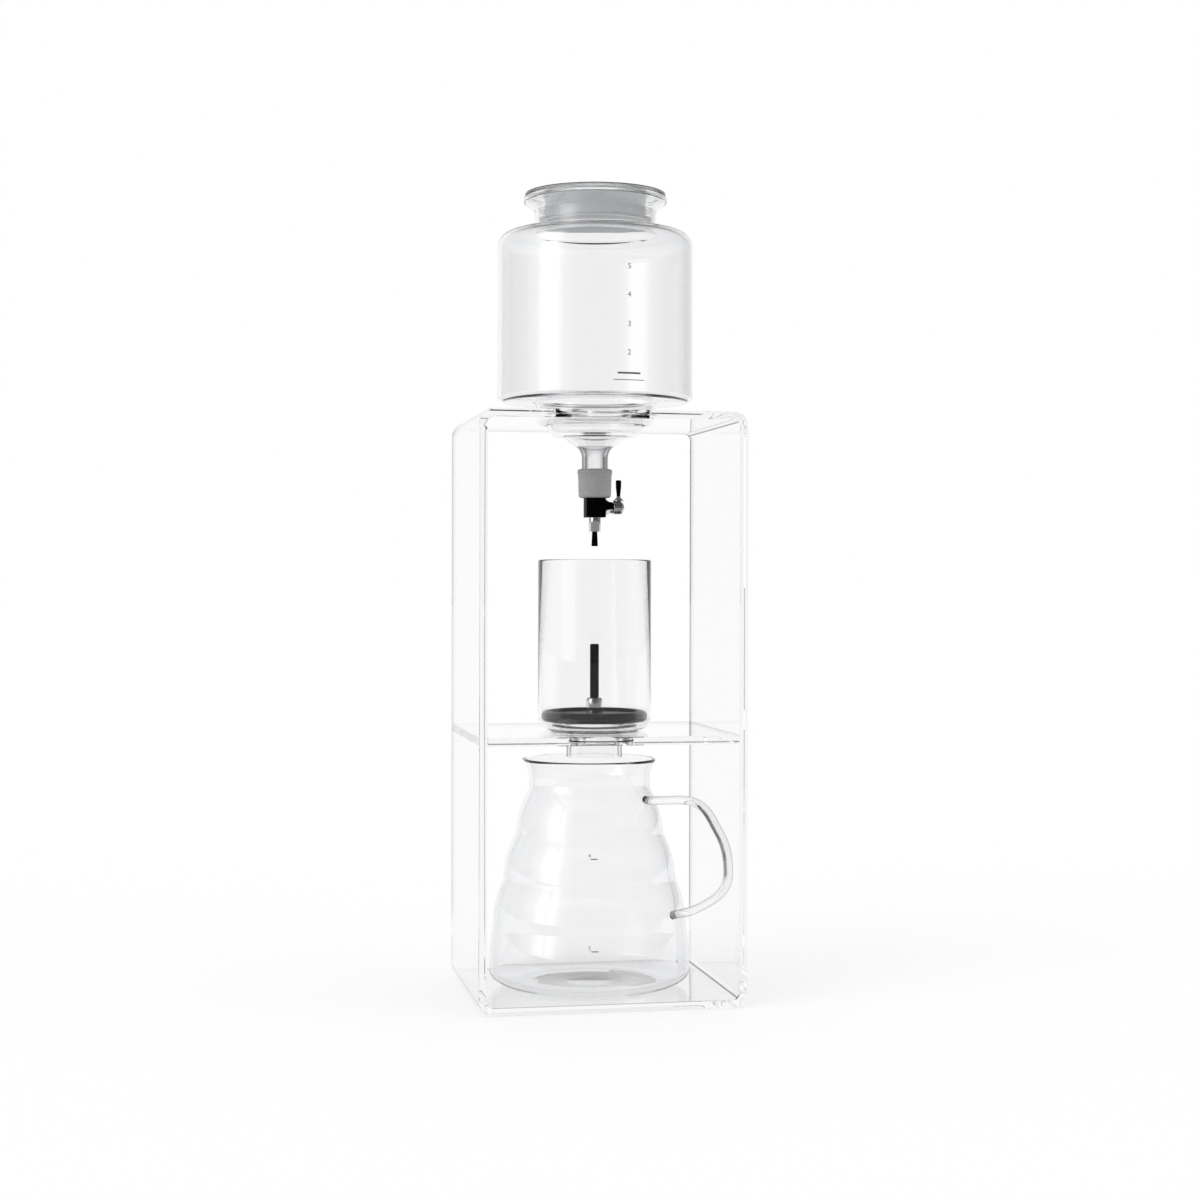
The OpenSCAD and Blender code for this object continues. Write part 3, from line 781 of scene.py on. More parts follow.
# Near-black gloss for dark parts; on the chrome tap block and the fairing's upper faces it is a painted
# reflection of a dark room.
BLACK_AND_PAINTED_REFLECTION = MouldedFinish("black_and_painted_reflection", (0.004, 0.004, 0.004), (0.002, 0.002, 0.002), 0.2, 0.3,
                            specular=0.004, grain_depth=0.002)
CHROME = MetalFinish("chrome", (0.72, 0.73, 0.75), (0.66, 0.67, 0.69), 0.04, 0.1,
                     grain_scale=600.0, grain_depth=0.001)
PLAIN_CHROME = FrameFinish("chrome")
BRUSHED_STEEL = MetalFinish("brushed_steel", (0.42, 0.42, 0.41), (0.28, 0.28, 0.27), 0.25, 0.38,
                            grain_scale=900.0, stretch=(0.06, 1.0, 1.0))
STEEL_MESH = WovenFinish("steel_mesh", (0.16, 0.16, 0.155), (0.03, 0.03, 0.03), pitch=0.5)
GREY_INK = MouldedFinish("grey_ink", (0.2, 0.2, 0.205), (0.12, 0.12, 0.125), 0.4, 0.6)


# Prints


@dataclass(frozen=True)
class PrintPlace:
    """Where a print lies on an upright cylinder, in millimetres, and in degrees from the front towards +X."""

    radius: float
    azimuth: float
    height: float
    centre_x: float = 0.0

    def wrap(self, part: Mesh) -> Mesh:
        """Wraps a flat print in the XY plane round the cylinder.

        Args:
            part: The print, in metres, with its middle at the origin.

        Returns:
            The print.
        """
        for vertex in part.data.vertices:
            turn = math.radians(self.azimuth) + vertex.co.x / (self.radius * MM)
            vertex.co = (self.centre_x * MM + self.radius * MM * math.sin(turn),
                         -self.radius * MM * math.cos(turn), self.height * MM + vertex.co.y)
        return part

    def bar(self, width: float, thickness: float) -> Mesh:
        """A printed line.

        Args:
            width: Its length.
            thickness: Its thickness.

        Returns:
            The line.
        """
        deselect()
        bpy.ops.mesh.primitive_grid_add(x_subdivisions=24, y_subdivisions=1, size=MM, location=(0, 0, 0))
        bar = bpy.context.active_object
        for vertex in bar.data.vertices:
            vertex.co.x *= width
            vertex.co.y *= thickness
        return self.wrap(bar)

    def number(self, count: int, size: float) -> Mesh:
        """A printed number.

        Args:
            count: The number.
            size: Its height.

        Returns:
            The number.
        """
        deselect()
        bpy.ops.object.text_add(location=(0, 0, 0))
        text = bpy.context.active_object.data
        text.body, text.size = str(count), size * MM
        text.align_x = text.align_y = "CENTER"
        bpy.ops.object.convert(target="MESH")
        return self.wrap(bpy.context.active_object)


def joined(parts: Sequence[Mesh], name: str) -> Mesh:
    """Joins several objects into one piece.

    Args:
        parts: The objects.
        name: The piece's name.

    Returns:
        The piece.
    """
    activate(parts[0])
    for part in parts:
        part.select_set(True)
    bpy.ops.object.join()
    return settle(parts[0], name)


# Sub-assemblies


@dataclass
class Stand:
    """The bent acrylic loop and its shelf."""

    sheet: float = 5.0
    arris: float = 0.4
    bend_r: float = 9.0
    bend_steps: int = 24
    crease_from: float = 0.6
    crease_to: float = 0.7
    bowl_hole_r: float = 30.6
    outlet_hole_r: float = 20.2
    hole_steps: int = 96
    glue_gap: float = 0.04

    def loop(self) -> Mesh:
        """The loop: a box with four bent corners, opened from front to back, with the bowl's hole.

        Returns:
            The piece.
        """
        low, high = low_high("stand_frame")
        piece = block(low, high)

        def open_loop() -> None:
            """Rounds the four long edges, insets the two ends and bridges them."""
            bpy.ops.mesh.select_mode(type="EDGE")
            bpy.ops.mesh.select_all(action="DESELECT")
            bpy.ops.object.mode_set(mode="OBJECT")
            for edge in piece.data.edges:
                a, b = (piece.data.vertices[v].co for v in edge.vertices)
                edge.select = abs(a.y - b.y) > (high.y - low.y) * MM / 2
            bpy.ops.object.mode_set(mode="EDIT")
            bpy.ops.mesh.bevel(offset=self.bend_r * MM, segments=self.bend_steps, affect="EDGES")
            bpy.ops.mesh.select_mode(type="FACE")
            bpy.ops.object.mode_set(mode="OBJECT")
            for face in piece.data.polygons:
                face.select = abs(face.normal.y) > 0.9
            bpy.ops.object.mode_set(mode="EDIT")
            bpy.ops.mesh.inset(thickness=self.sheet * MM, use_even_offset=True)
            bpy.ops.mesh.bridge_edge_loops()
            bpy.ops.mesh.select_mode(type="VERT")

        in_edit_mode(open_loop)
        return self.trimmed(piece, self.bowl_hole_r, high.z, "acrylic_loop")

    def shelf(self) -> Mesh:
        """The shelf, with the outlet's hole.

        Returns:
            The piece.
        """
        low, high = low_high("shelf")
        low.x += self.glue_gap
        high.x -= self.glue_gap
        return self.trimmed(block(low, high), self.outlet_hole_r, high.z, "acrylic_shelf")

    def trimmed(self, piece: Mesh, radius: float, top: float, name: str) -> Mesh:
        """Cuts a round hole through a sheet, breaks its edges and settles it.

        Args:
            piece: The piece.
            radius: The hole's radius.
            top: Height of the sheet's upper face.
            name: The piece's name.

        Returns:
            The piece.
        """
        middle = (0, 0, (top - self.sheet / 2) * MM)
        deselect()
        bpy.ops.mesh.primitive_cylinder_add(vertices=self.hole_steps, radius=radius * MM,
                                            depth=2 * self.sheet * MM, location=middle)
        cut_with(piece, bpy.context.active_object)
        bevelled(piece, self.arris, segments=1, limit=40.0)
        return settle(piece, name, smooth_angle=25.0)

    def build(self) -> None:
        """Builds and dresses the stand."""
        inner_x = low_high("stand_frame")[1].x - self.sheet

        def in_crease(place: Vector, normal: Vector) -> bool:
            """Tells whether a face is the narrow strip inside a bend that is painted dark, as the shade line
            that the bend shows.
            """
            nearer = min(abs(normal.x), abs(normal.z))
            return self.crease_from < nearer < self.crease_to and abs(place.x) < inner_x

        loop = finished(self.loop(), CLEAR_ACRYLIC, "stand", "acrylic", "stand_frame")
        # Painted shade: a narrow strip inside each bend takes the near-black finish as its dark line.
        second_finish(loop, BEND_PAINTED_SHADE, in_crease)
        finished(self.shelf(), CLEAR_ACRYLIC, "stand", "acrylic", "shelf")


@dataclass
class WaterBowl:
    """The glass bowl with its printed scale."""

    wall: float = 2.2
    lip_r: float = 43.8
    lip_h: float = 8.0
    mouth_r: float = 37.1
    mouth_h: float = 12.2
    body_r: float = 59.6
    body_h: float = 105.0
    shoulder_round: float = 9.0
    bottom_round: float = 3.5
    collar_r: float = 36.0
    collar_h: float = 8.9
    cup_r: float = 29.6
    cup_h: float = 12.8
    step_r: float = 21.0
    funnel_h: float = 7.6
    stem_r: float = 8.0
    stem_show: float = 14.0
    steps: int = 160
    scale_azimuth: float = 9.0
    number_heights: tuple[float, ...] = (386.1, 402.7, 420.0, 436.6)
    number_size: float = 4.6
    lines: tuple[Triple, ...] = ((374.0, 14.3, 1.1), (370.0, 19.6, 0.45))
    ink_lift: float = 0.05

    def glass(self) -> Mesh:
        """The blown bowl.

        Returns:
            The piece.
        """
        low, top = low_high("bowl_outlet")[0], low_high("water_bowl")[1].z
        lip_low = top - self.lip_h
        shoulder = lip_low - self.mouth_h
        body_low = shoulder - self.body_h
        seat = body_low - self.collar_h
        cup_low = seat - self.cup_h
        funnel_low = cup_low - self.funnel_h
        wall = self.wall
        outline = rounded([
            (self.lip_r, top - wall / 2, 0),
            (self.lip_r, top - wall * 1.5, wall),
            (self.mouth_r, lip_low, wall),
            (self.mouth_r, shoulder, wall * 1.5),
            (self.body_r, shoulder - wall, self.shoulder_round),
            (self.body_r, body_low, self.bottom_round),
            (self.collar_r, body_low, wall * 1.2),
            (self.collar_r, seat, wall * 1.1),
            (self.cup_r, seat, wall * 0.4),
            (self.cup_r, cup_low, self.cup_r - self.step_r),
            (self.step_r - wall, cup_low, wall),
            (self.stem_r, funnel_low, self.stem_r),
            (self.stem_r, low.z, 0),
        ])
        return turned("bowl_glass", wall_outline(outline, wall), steps=self.steps, smooth_angle=50.0)

    def scale_numbers(self) -> Mesh:
        """The printed numbers of the scale."""
        parts = [self.print_at(height).number(count, self.number_size)
                 for count, height in enumerate(self.number_heights, start=2)]
        return joined(parts, "bowl_scale_numbers")

    def scale_lines(self) -> Mesh:
        """The two lines under the numbers."""
        parts = [self.print_at(height).bar(width, thickness) for height, width, thickness in self.lines]
        return joined(parts, "bowl_scale_lines")

    def print_at(self, height: float) -> PrintPlace:
        """Place of a print of the scale at a height."""
        return PrintPlace(self.body_r + self.ink_lift, self.scale_azimuth, height)

    def build(self) -> None:
        """Builds and dresses the bowl."""
        glass = finished(self.glass(), CLEAR_GLASS, "bowl", "glass", "water_bowl", "bowl_outlet")
        stem_top = low_high("stopper")[1].z + self.stem_show
        # Painted shade: the stem below stem_top takes the finish with near-black edges, for its dark
        # outlines.
        second_finish(glass, THICK_STEM_PAINTED_EDGE, lambda place, normal: place.z < stem_top)
        finished(self.scale_numbers(), GREY_INK, "bowl", "glass")
        finished(self.scale_lines(), GREY_INK, "bowl", "glass")


@dataclass
class Lid:
    """The frosted lid: a thin top over the lip and a hollow plug in the neck."""

    radius: float = 43.0
    top_t: float = 2.0
    plug_r: float = 30.9
    plug_t: float = 1.8
    edge: float = 0.7
    dish_r: float = 24.7
    dish: float = 1.2
    bead_r: float = 34.3
    bead_h: float = 1.6
    dark_share: float = 0.35

    def moulding(self) -> Mesh:
        """The lid in one moulding, with the bead that steadies its plug.

        Returns:
            The piece.
        """
        low, high = low_high("lid")
        top, seat = high.z, high.z - self.top_t
        inner = self.plug_r - self.plug_t
        outline = rounded([
            (0, top - self.dish, 0),
            (self.dish_r, top - self.dish, 0.6),
            (self.dish_r, top, 0.5),
            (self.radius, top, self.edge),
            (self.radius, seat, self.edge),
            (self.plug_r, seat, 0.8),
            (self.plug_r, low.z + self.bead_h, 0.6),
            (self.bead_r, low.z + self.bead_h, 0.5),
            (self.bead_r, low.z, 0.5),
            (inner, low.z, 0.6),
            (inner, seat, 0.8),
            (0, seat, 0),
        ], steps=6)
        return turned("lid_moulding", outline, steps=128)

    def build(self) -> None:
        """Builds and dresses the lid."""
        lid = finished(self.moulding(), PALE_PLASTIC, "lid", "frosted_plastic", "lid")
        top = low_high("lid")[1].z
        seat = top - self.top_t

        def on_rim(place: Vector, normal: Vector) -> bool:
            """Tells whether a face is in the upper part of the flange's edge, which is painted dark as a
            reflection.
            """
            out = math.hypot(place.x, place.y)
            return out > self.radius - self.edge and place.z > top - self.top_t * self.dark_share

        second_finish(lid, FROSTED_PLASTIC, lambda place, normal: place.z < seat - self.edge)
        # Painted reflection: the upper part of the flange's edge takes a near-black finish, as the dark
        # reflection along its rim.
        second_finish(lid, RIM_PAINTED_REFLECTION, on_rim)


@dataclass
class Tap:
    """The stopper, the tap body with its nozzle, and the turning key with its lever."""

    stopper_r: float = 10.3
    stopper_foot_r: float = 9.9
    bead_out: float = 0.4
    bead_h: float = 2.6
    stem_bore_r: float = 8.05
    inlet_bore_r: float = 3.15
    stem_grip: float = 10.6
    fairing_r: float = 5.5
    lit_below: float = -0.25
    block_edge: float = 0.35

    def stopper(self) -> Mesh:
        """The silicone joint, slightly tapered, with a bead round its top.

        Returns:
            The piece.
        """
        low, high = low_high("stopper")
        floor = high.z - self.stem_grip
        outline = rounded([
            (self.stem_bore_r, high.z, 0),
            (self.stopper_r + self.bead_out, high.z, 1.6),
            (self.stopper_r + self.bead_out, high.z - self.bead_h, 0.5),
            (self.stopper_r, high.z - self.bead_h - 0.6, 0.4),
            (self.stopper_foot_r, low.z, 1.8),
            (self.inlet_bore_r, low.z, 0),
            (self.inlet_bore_r, floor, 0),
            (self.stem_bore_r, floor, 0),
        ])
        return turned("silicone_stopper", outline, steps=96)

    def sleeve(self) -> Mesh:
        """The nozzle sleeve with a rolled lower rim.

        Returns:
            The piece.
        """
        low, high = low_high("nozzle_sleeve")
        radius, wall = high.x, 0.8
        spigot_h, web_h, drip_r = 2.2, 1.5, 1.65
        shoulder = high.z - spigot_h
        outline = rounded([
            (radius - wall, high.z - web_h, 0),
            (radius - wall, low.z, 0.3),
            (radius, low.z, 0.35),
            (radius, shoulder, 0),
            (radius - wall / 2, shoulder, 0),
            (radius - wall / 2, high.z, 0),
            (drip_r, high.z, 0),
            (drip_r, high.z - web_h, 0),
        ], steps=5)
        return turned("nozzle_tube", outline, steps=64)

    def drip_pipe(self) -> Mesh:
        """The thin tube that forms the drops, flared at its tip.

        Returns:
            The piece.
        """
        low, high = low_high("drip_tube")
        bore, radius, flare_h = 0.9, 1.6, 8.8
        outline = rounded([
            (bore, high.z, 0),
            (bore, low.z, 0.3),
            (high.x, low.z, 0.35),
            (radius, low.z + flare_h, 3.0),
            (radius, high.z, 0),
        ], steps=6)
        return turned("drip_pipe", outline, steps=48)

    def fairing(self) -> Mesh:
        """The gland, drawn in from the block in a smooth curve.

        Returns:
            The piece.
        """
        low, high = low_high("tap_gland")
        start = low_high("tap_body")[1].x
        middle = (low + high) / 2
        bore, waist = 2.05, 3.6
        outline = rounded([
            (bore, start, 0),
            (self.fairing_r, start, 0.2),
            (self.fairing_r - 0.3, start + 0.7, 0.5),
            (waist, start + 3.0, 4.0),
            (waist, high.x, 0.2),
            (bore, high.x, 0),
        ], steps=8)
        return turned("gland_fairing", outline, axis=Axis.X, centre=(0, middle.y, middle.z), steps=72,
                      smooth_angle=50.0)

    def knob(self) -> Mesh:
        """The key's knob with its domed end, and the key behind it.

        Returns:
            The piece.
        """
        low, high = low_high("tap_key")
        gland_end = low_high("tap_gland")[1].x
        middle = (low + high) / 2
        radius, stem, key_r, rise = 4.1, 2.0, 3.1, 2.6
        start, key_end = gland_end + 0.3, low.x + 7.6
        dome = [(radius * math.cos(t), high.x - rise + rise * math.sin(t))
                for t in map(math.radians, range(9, 90, 9))]
        outline = [(0, low.x), *rounded([(0.5, low.x, 0), (key_r, low.x, 0.4), (key_r, key_end, 0.3),
                                         (stem, key_end, 0), (stem, start, 0), (radius, start, 0.5),
                                         (radius, high.x - rise, 0)], steps=5), *dome, (0, high.x)]
        return turned("key_and_knob", outline, axis=Axis.X, centre=(0, middle.y, middle.z), steps=72,
                      smooth_angle=50.0)

    def collar(self) -> Mesh:
        """The domed collar at the lever's foot.

        Returns:
            The piece.
        """
        low, high = low_high("lever_collar")
        middle = (low + high) / 2
        radius, rise = (high.x - low.x) / 2, high.z - low.z
        bore, neck = 0.95, 1.35
        dome = [(radius * math.cos(t) * 0.62 + neck * 0.5, rise * 0.78 * math.sin(t))
                for t in map(math.radians, (15, 30, 45, 60, 72))]
        outline = [(bore, 0.0), (radius, 0.0), (radius, rise * 0.12), *dome, (neck, rise * 0.85),
                   (neck, rise), (bore, rise)]
        return turned("lever_dome", outline, centre=(middle.x, middle.y, low.z), steps=48, smooth_angle=60.0)

    def grip(self) -> Mesh:
        """The grip, which swells towards its rounded top.

        Returns:
            The piece.
        """
        low, high = low_high("lever_grip")
        middle = (low + high) / 2
        rise = high.z - low.z
        outline = rounded([
            (0, 0, 0),
            (1.25, 0, 0.3),
            (1.15, rise * 0.12, 1.5),
            (1.65, rise * 0.55, 6.0),
            (1.75, rise, 0.9),
            (0, rise, 0),
        ], steps=6)
        return turned("lever_handle", outline, centre=(middle.x, middle.y, low.z), steps=48,
                      smooth_angle=60.0)

    def build(self) -> None:
        """Builds and dresses the tap."""
        finished(self.stopper(), GREY_SILICONE, "bowl", "grey_silicone", "stopper")
        # Painted reflection: the chrome block gets a near-black finish with almost no gloss, standing for the
        # dark room that chrome reflects.
        finished(softened("tap_body", "tap_block", self.block_edge), BLACK_AND_PAINTED_REFLECTION, "bowl", "chrome")
        fairing = finished(self.fairing(), CHROME, "bowl", "chrome", "tap_gland")
        # Painted reflection: the fairing's faces that look up or sideways take the black finish, as the dark
        # room seen in chrome, and only its lower faces stay chrome.
        second_finish(fairing, BLACK_AND_PAINTED_REFLECTION, lambda place, normal: normal.z > self.lit_below)
        finished(self.sleeve(), CHROME, "bowl", "chrome", "nozzle_sleeve")
        finished(self.drip_pipe(), BLACK_AND_PAINTED_REFLECTION, "bowl", "dark_steel", "drip_tube")
        finished(self.knob(), CHROME, "key", "chrome", "tap_key")
        finished(self.collar(), CHROME, "key", "chrome", "lever_collar")
        finished(self.grip(), BLACK_AND_PAINTED_REFLECTION, "key", "dark_steel", "lever_grip")
        dress_node("tap_inlet", CHROME)
        dress_node("lever_stem", CHROME)
        dress_node("key_seals", BLACK_SILICONE)


@dataclass
class CoffeeCylinder:
    """The glass cylinder with its outlet."""

    wall: float = 1.8
    foot_round: float = 8.1
    outlet_r: float = 17.2
    outlet_round: float = 2.4
    outlet_flare: float = 0.5
    steps: int = 160

    def glass(self) -> Mesh:
        """The cylinder in one piece.

        Returns:
            The piece.
        """
        low, high = low_high("coffee_cylinder")
        shelf_top = low_high("shelf")[1].z
        outline = rounded([
            (high.x, high.z - self.wall / 2, 0),
            (high.x, shelf_top, self.foot_round),
            (self.outlet_r - self.outlet_flare, shelf_top, self.outlet_round),
            (self.outlet_r, low.z, 0),
        ], steps=12)
        return turned("cylinder_glass", wall_outline(outline, self.wall), steps=self.steps, smooth_angle=50.0)

    def build(self) -> None:
        """Builds and dresses the cylinder."""
        glass = finished(self.glass(), THIN_GLASS, "cylinder", "glass", "coffee_cylinder")
        painted_outline_below = low_high("shelf")[0].z + self.wall
        # Painted shade: the outlet below the shelf takes the finish with near-black edges, for the dark
        # outlines at its silhouettes.
        second_finish(glass, OUTLET_PAINTED_OUTLINE, lambda place, normal: place.z < painted_outline_below)


@dataclass
class Filter:
    """The lift-out filter: silicone ring, plate, mesh, boss and rod."""

    ring_w: float = 5.2
    play: float = 0.05
    rod_round: float = 0.8
    thread_r: float = 1.5
    boss_round: float = 1.4
    boss_bore_r: float = 2.75
    bore_depth: float = 6.0

    def ring(self) -> Mesh:
        """The silicone ring.

        Returns:
            The piece.
        """
        low, high = low_high("filter_ring")
        mesh_top = low_high("filter_mesh")[1].z
        plate_low, plate_high = low_high("filter_plate")
        outer, inner, groove = high.x, high.x - self.ring_w, plate_high.x + self.play
        full_round = (high.z - low.z) * 0.49
        outline = rounded([
            (inner, low.z, 0),
            (outer, low.z, full_round),
            (outer, high.z, full_round),
            (inner, high.z, 0.5),
            (inner, mesh_top + self.play, 0),
            (groove, mesh_top + self.play, 0),
            (groove, plate_low.z - self.play, 0),
            (inner, plate_low.z - self.play, 0),
        ], steps=8)
        return turned("filter_seal", outline, steps=128)

    def boss(self) -> Mesh:
        """The chrome boss.

        Returns:
            The piece.
        """
        low, high = low_high("filter_boss")
        thread_bore, bore_end = self.thread_r + self.play, high.z - self.bore_depth
        outline = rounded([
            (self.boss_bore_r, high.z, 0),
            (high.x, high.z, self.boss_round),
            (high.x, low.z, 0.4),
            (thread_bore, low.z, 0),
            (thread_bore, bore_end, 0),
            (self.boss_bore_r, bore_end, 0),
        ], steps=6)
        return turned("rod_boss", outline, steps=64)

    def rod(self) -> Mesh:
        """The handle rod, with a rounded top.

        Returns:
            The piece.
        """
        low, high = low_high("filter_rod")
        seat = low_high("filter_boss")[1].z - self.bore_depth + 0.1
        outline = rounded([
            (0, high.z, 0),
            (high.x, high.z, self.rod_round),
            (high.x, seat, 0),
            (self.thread_r, seat, 0),
            (self.thread_r, low.z, 0.3),
            (0, low.z, 0),
        ], steps=6)
        return turned("handle_rod", outline, steps=64)

    def build(self) -> None:
        """Builds and dresses the filter."""
        finished(self.ring(), BLACK_SILICONE, "filter", "black_rubber", "filter_ring")
        finished(self.boss(), PLAIN_CHROME, "filter", "chrome", "filter_boss")
        finished(self.rod(), BLACK_AND_PAINTED_REFLECTION, "filter", "dark_steel", "filter_rod")
        dress_node("filter_plate", BRUSHED_STEEL)
        dress_node("filter_mesh", STEEL_MESH)
        dress_node("filter_nut", PLAIN_CHROME)


@dataclass
class Server:
    """The rippled glass server with its spout, handle and printed marks."""

    left: float = 3.0
    wall: float = 2.2
    height: float = 138.6
    neck_r: float = 36.9
    flare: float = 3.5
    flare_h: float = 13.6
    widest_r: float = 61.5
    notch_r: float = 59.0
    notch_z: float = 38.0
    ripples: int = 3
    swell: float = 1.6
    bow: float = 0.19
    foot_h: float = 10.0
    foot_w: float = 20.0
    punt_r: float = 36.0
    punt_h: float = 1.6
    handle_turn: float = 39.0
    spout_out: float = 6.5
    spout_drop: float = 1.8
    spout_half: float = 20.0
    spout_depth: float = 15.0
    handle_top_z: float = 114.5
    handle_low_z: float = 47.0
    handle_reach: float = 96.0
    handle_t: float = 5.2
    handle_w: float = 8.6
    handle_out: tuple[float, ...] = (0, 0.24, 0.48, 0.62, 0.73, 0.86, 0.96, 1, 0.98, 0.89, 0.77, 0.55)
    handle_down: tuple[float, ...] = (0, -0.01, -0.02, 0, 0.06, 0.21, 0.36, 0.54, 0.7, 0.8, 0.87, 0.96)
    shade_from: float = 62.0
    steps: int = 180
    mark_heights: tuple[float, ...] = (89.9, 37.0)
    mark_azimuth: float = -7.4
    mark_size: float = 3.4
    mark_lift: float = 0.1
    mark_reach: float = 4.5
    dash: Point = (4.2, 0.6)
    dash_drop: float = 2.0
    number_turn: float = -3.0
    punt_slope: float = 0.7
    streak_half: float = 0.3
    streak_clear: float = 4.0
    weld_in: float = 0.8
    arc_steps: int = 14
    ripple_steps: int = 24
    punt_steps: int = 8

    @property
    def floor(self) -> float:
        """Height of the surface that the server stands on."""
        return low_high("server_jug")[0].z

    @property
    def ripple_top(self) -> float:
        """Height above the foot at which the ripples begin."""
        return self.height - self.flare_h - 2 * self.wall

    def side_r(self, z: float) -> float:
        """Radius of the side without its ripples, at a height above the foot."""
        share = (self.ripple_top - z) / (self.ripple_top - self.notch_z)
        return (self.neck_r
                + (self.notch_r - self.neck_r) * ((1 + self.bow) * share - self.bow * share * share))

    def outline(self) -> list[Point]:
        """Outer outline, from the rim down to the middle of the foot.

        Returns:
            The outline.
        """
        neck_z = self.height - self.flare_h
        rise = self.flare_h - self.wall / 2
        middle_r = (rise**2 + self.flare**2) / (2 * self.flare)
        turn, outer = math.asin(rise / middle_r), middle_r - self.wall / 2
        turns = [turn * i / self.arc_steps for i in range(self.arc_steps, -1, -1)]
        points = [(self.neck_r + outer * (1 - math.cos(t)), neck_z + outer * math.sin(t)) for t in turns]
        count = self.ripple_steps * self.ripples
        for i in range(count + 1):
            z = self.ripple_top + (self.notch_z - self.ripple_top) * i / count
            swell = self.swell * abs(math.sin(math.pi * i / self.ripple_steps))
            points.append((self.side_r(z) + swell, z))
        out, rise = self.widest_r - self.notch_r, self.notch_z - self.foot_h
        low_r = (rise**2 + out**2) / (2 * out)
        turn = math.asin(rise / low_r)
        turns = [turn * i / self.arc_steps for i in range(self.arc_steps - 1, 0, -1)]
        points += [(self.widest_r - low_r * (1 - math.cos(t)), self.foot_h + low_r * math.sin(t))
                   for t in turns]
        turns = [math.pi / 2 * i / self.ripple_steps for i in range(self.ripple_steps + 1)]
        points += [(self.widest_r - self.foot_w * (1 - math.cos(t)), self.foot_h * (1 - math.sin(t)))
                   for t in turns]
        return points

    def placed(self, piece: Mesh) -> None:
        """Moves a mesh made in the server's own frame, with +X along the handle, to its place."""
        place = Matrix.Translation(Vector((-self.left, 0, self.floor)) * MM)
        piece.data.transform(place @ Matrix.Rotation(math.radians(-self.handle_turn), 4, "Z"))

    def glass(self) -> Mesh:
        """The blown server with its spout.

        Returns:
            The piece.
        """
        outer = self.outline()
        shares = [i / self.punt_steps for i in range(1, self.punt_steps + 1)]
        punt = [(self.punt_r * (1 - s), self.punt_h * (1 - math.cos(math.pi * s)) / 2) for s in shares]
        inner = list(reversed(parallel([*outer, (0.0, 0.0)], self.wall)))
        outline = rim_arc(outer, self.wall) + outer + punt + inner
        piece = turned("server_glass", outline, steps=self.steps, smooth_angle=60.0)
        for vertex in piece.data.vertices:
            vertex.co = self.spouted(vertex.co / MM) * MM
        self.placed(piece)
        return piece

    def spouted(self, point: Vector) -> Vector:
        """Draws a point near the rim out into the spout.

        Args:
            point: A point of the jug, in its own frame.

        Returns:
            The moved point.
        """
        azimuth = math.degrees(math.atan2(point.y, -point.x))
        across = max(0.0, 1.0 - (azimuth / self.spout_half) ** 2) ** 2
        up = max(0.0, min(1.0, (point.z - self.height + self.spout_depth) / self.spout_depth)) ** 2
        if across * up == 0.0:
            return point
        away = Vector((point.x, point.y, 0)).normalized()
        return point + away * self.spout_out * across * up - Vector((0, 0, self.spout_drop * across * up))

    def handle(self) -> Mesh:
        """The glass strap of the handle, as a curve with an oval section.

        Returns:
            The piece.
        """
        start, end = self.side_r(self.handle_top_z), self.side_r(self.handle_low_z)
        out, drop = self.handle_reach - self.handle_t / 2 - start, self.handle_top_z - self.handle_low_z
        places = [(start - self.weld_in, self.handle_top_z)]
        places += [(start + out * a, self.handle_top_z - drop * b)
                   for a, b in zip(self.handle_out[1:], self.handle_down[1:])]
        places += [(end - self.weld_in, self.handle_low_z - drop * 0.01)]
        deselect()
        bpy.ops.curve.primitive_bezier_circle_add(radius=1.0, location=(0, 0, 0))
        section = bpy.context.active_object
        section.data.resolution_u = 8
        section.scale = (self.handle_w / 2 * MM, self.handle_t / 2 * MM, 1.0)
        deselect()
        bpy.ops.curve.primitive_bezier_curve_add(location=(0, 0, 0))
        path = bpy.context.active_object
        spline = path.data.splines[0]
        spline.bezier_points.add(len(places) - len(spline.bezier_points))
        for knot, (x, z) in zip(spline.bezier_points, places):
            knot.co = Vector((x, 0, z)) * MM
            knot.handle_left_type = knot.handle_right_type = "AUTO"
        path.data.resolution_u = 10
        path.data.twist_mode = "MINIMUM"
        path.data.bevel_mode = "OBJECT"
        path.data.bevel_object = section
        path.data.use_fill_caps = True
        activate(path)
        bpy.ops.object.convert(target="MESH")
        piece = bpy.context.active_object
        bpy.data.objects.remove(section)
        in_edit_mode(clean_shell)
        self.placed(piece)
        return settle(piece, "server_strap", smooth_angle=50.0)

    def marks(self) -> Mesh:
        """Two plain level marks on the front.

        Returns:
            The piece.
        """
        parts = []
        for count, height in zip((4, 2), self.mark_heights):
            place = PrintPlace(self.mark_radius(height), self.mark_azimuth, height, -self.left)
            under = replace(place, height=height - self.dash_drop)
            beside = replace(place, azimuth=self.mark_azimuth + self.number_turn)
            parts += [under.bar(*self.dash), beside.number(count, self.mark_size)]
        return joined(parts, "server_marks")

    def mark_radius(self, height: float) -> float:
        """Radius at which a mark lies just on the glass, at a height in the frame."""
        z = height - self.floor
        return max(r for r, level in self.outline() if abs(level - z) < self.mark_reach) + self.mark_lift

    def build(self) -> None:
        """Builds and dresses the server."""
        jug = finished(self.glass(), CLEAR_GLASS, "server", "glass", "server_jug")
        foot_top = self.floor + self.wall / 2

        def in_punt(place: Vector, normal: Vector) -> bool:
            """Tells whether a face is in the hollow under the foot."""
            near = math.hypot(place.x, place.y) < self.punt_r - 1
            return near and normal.z < -self.punt_slope and place.z < foot_top

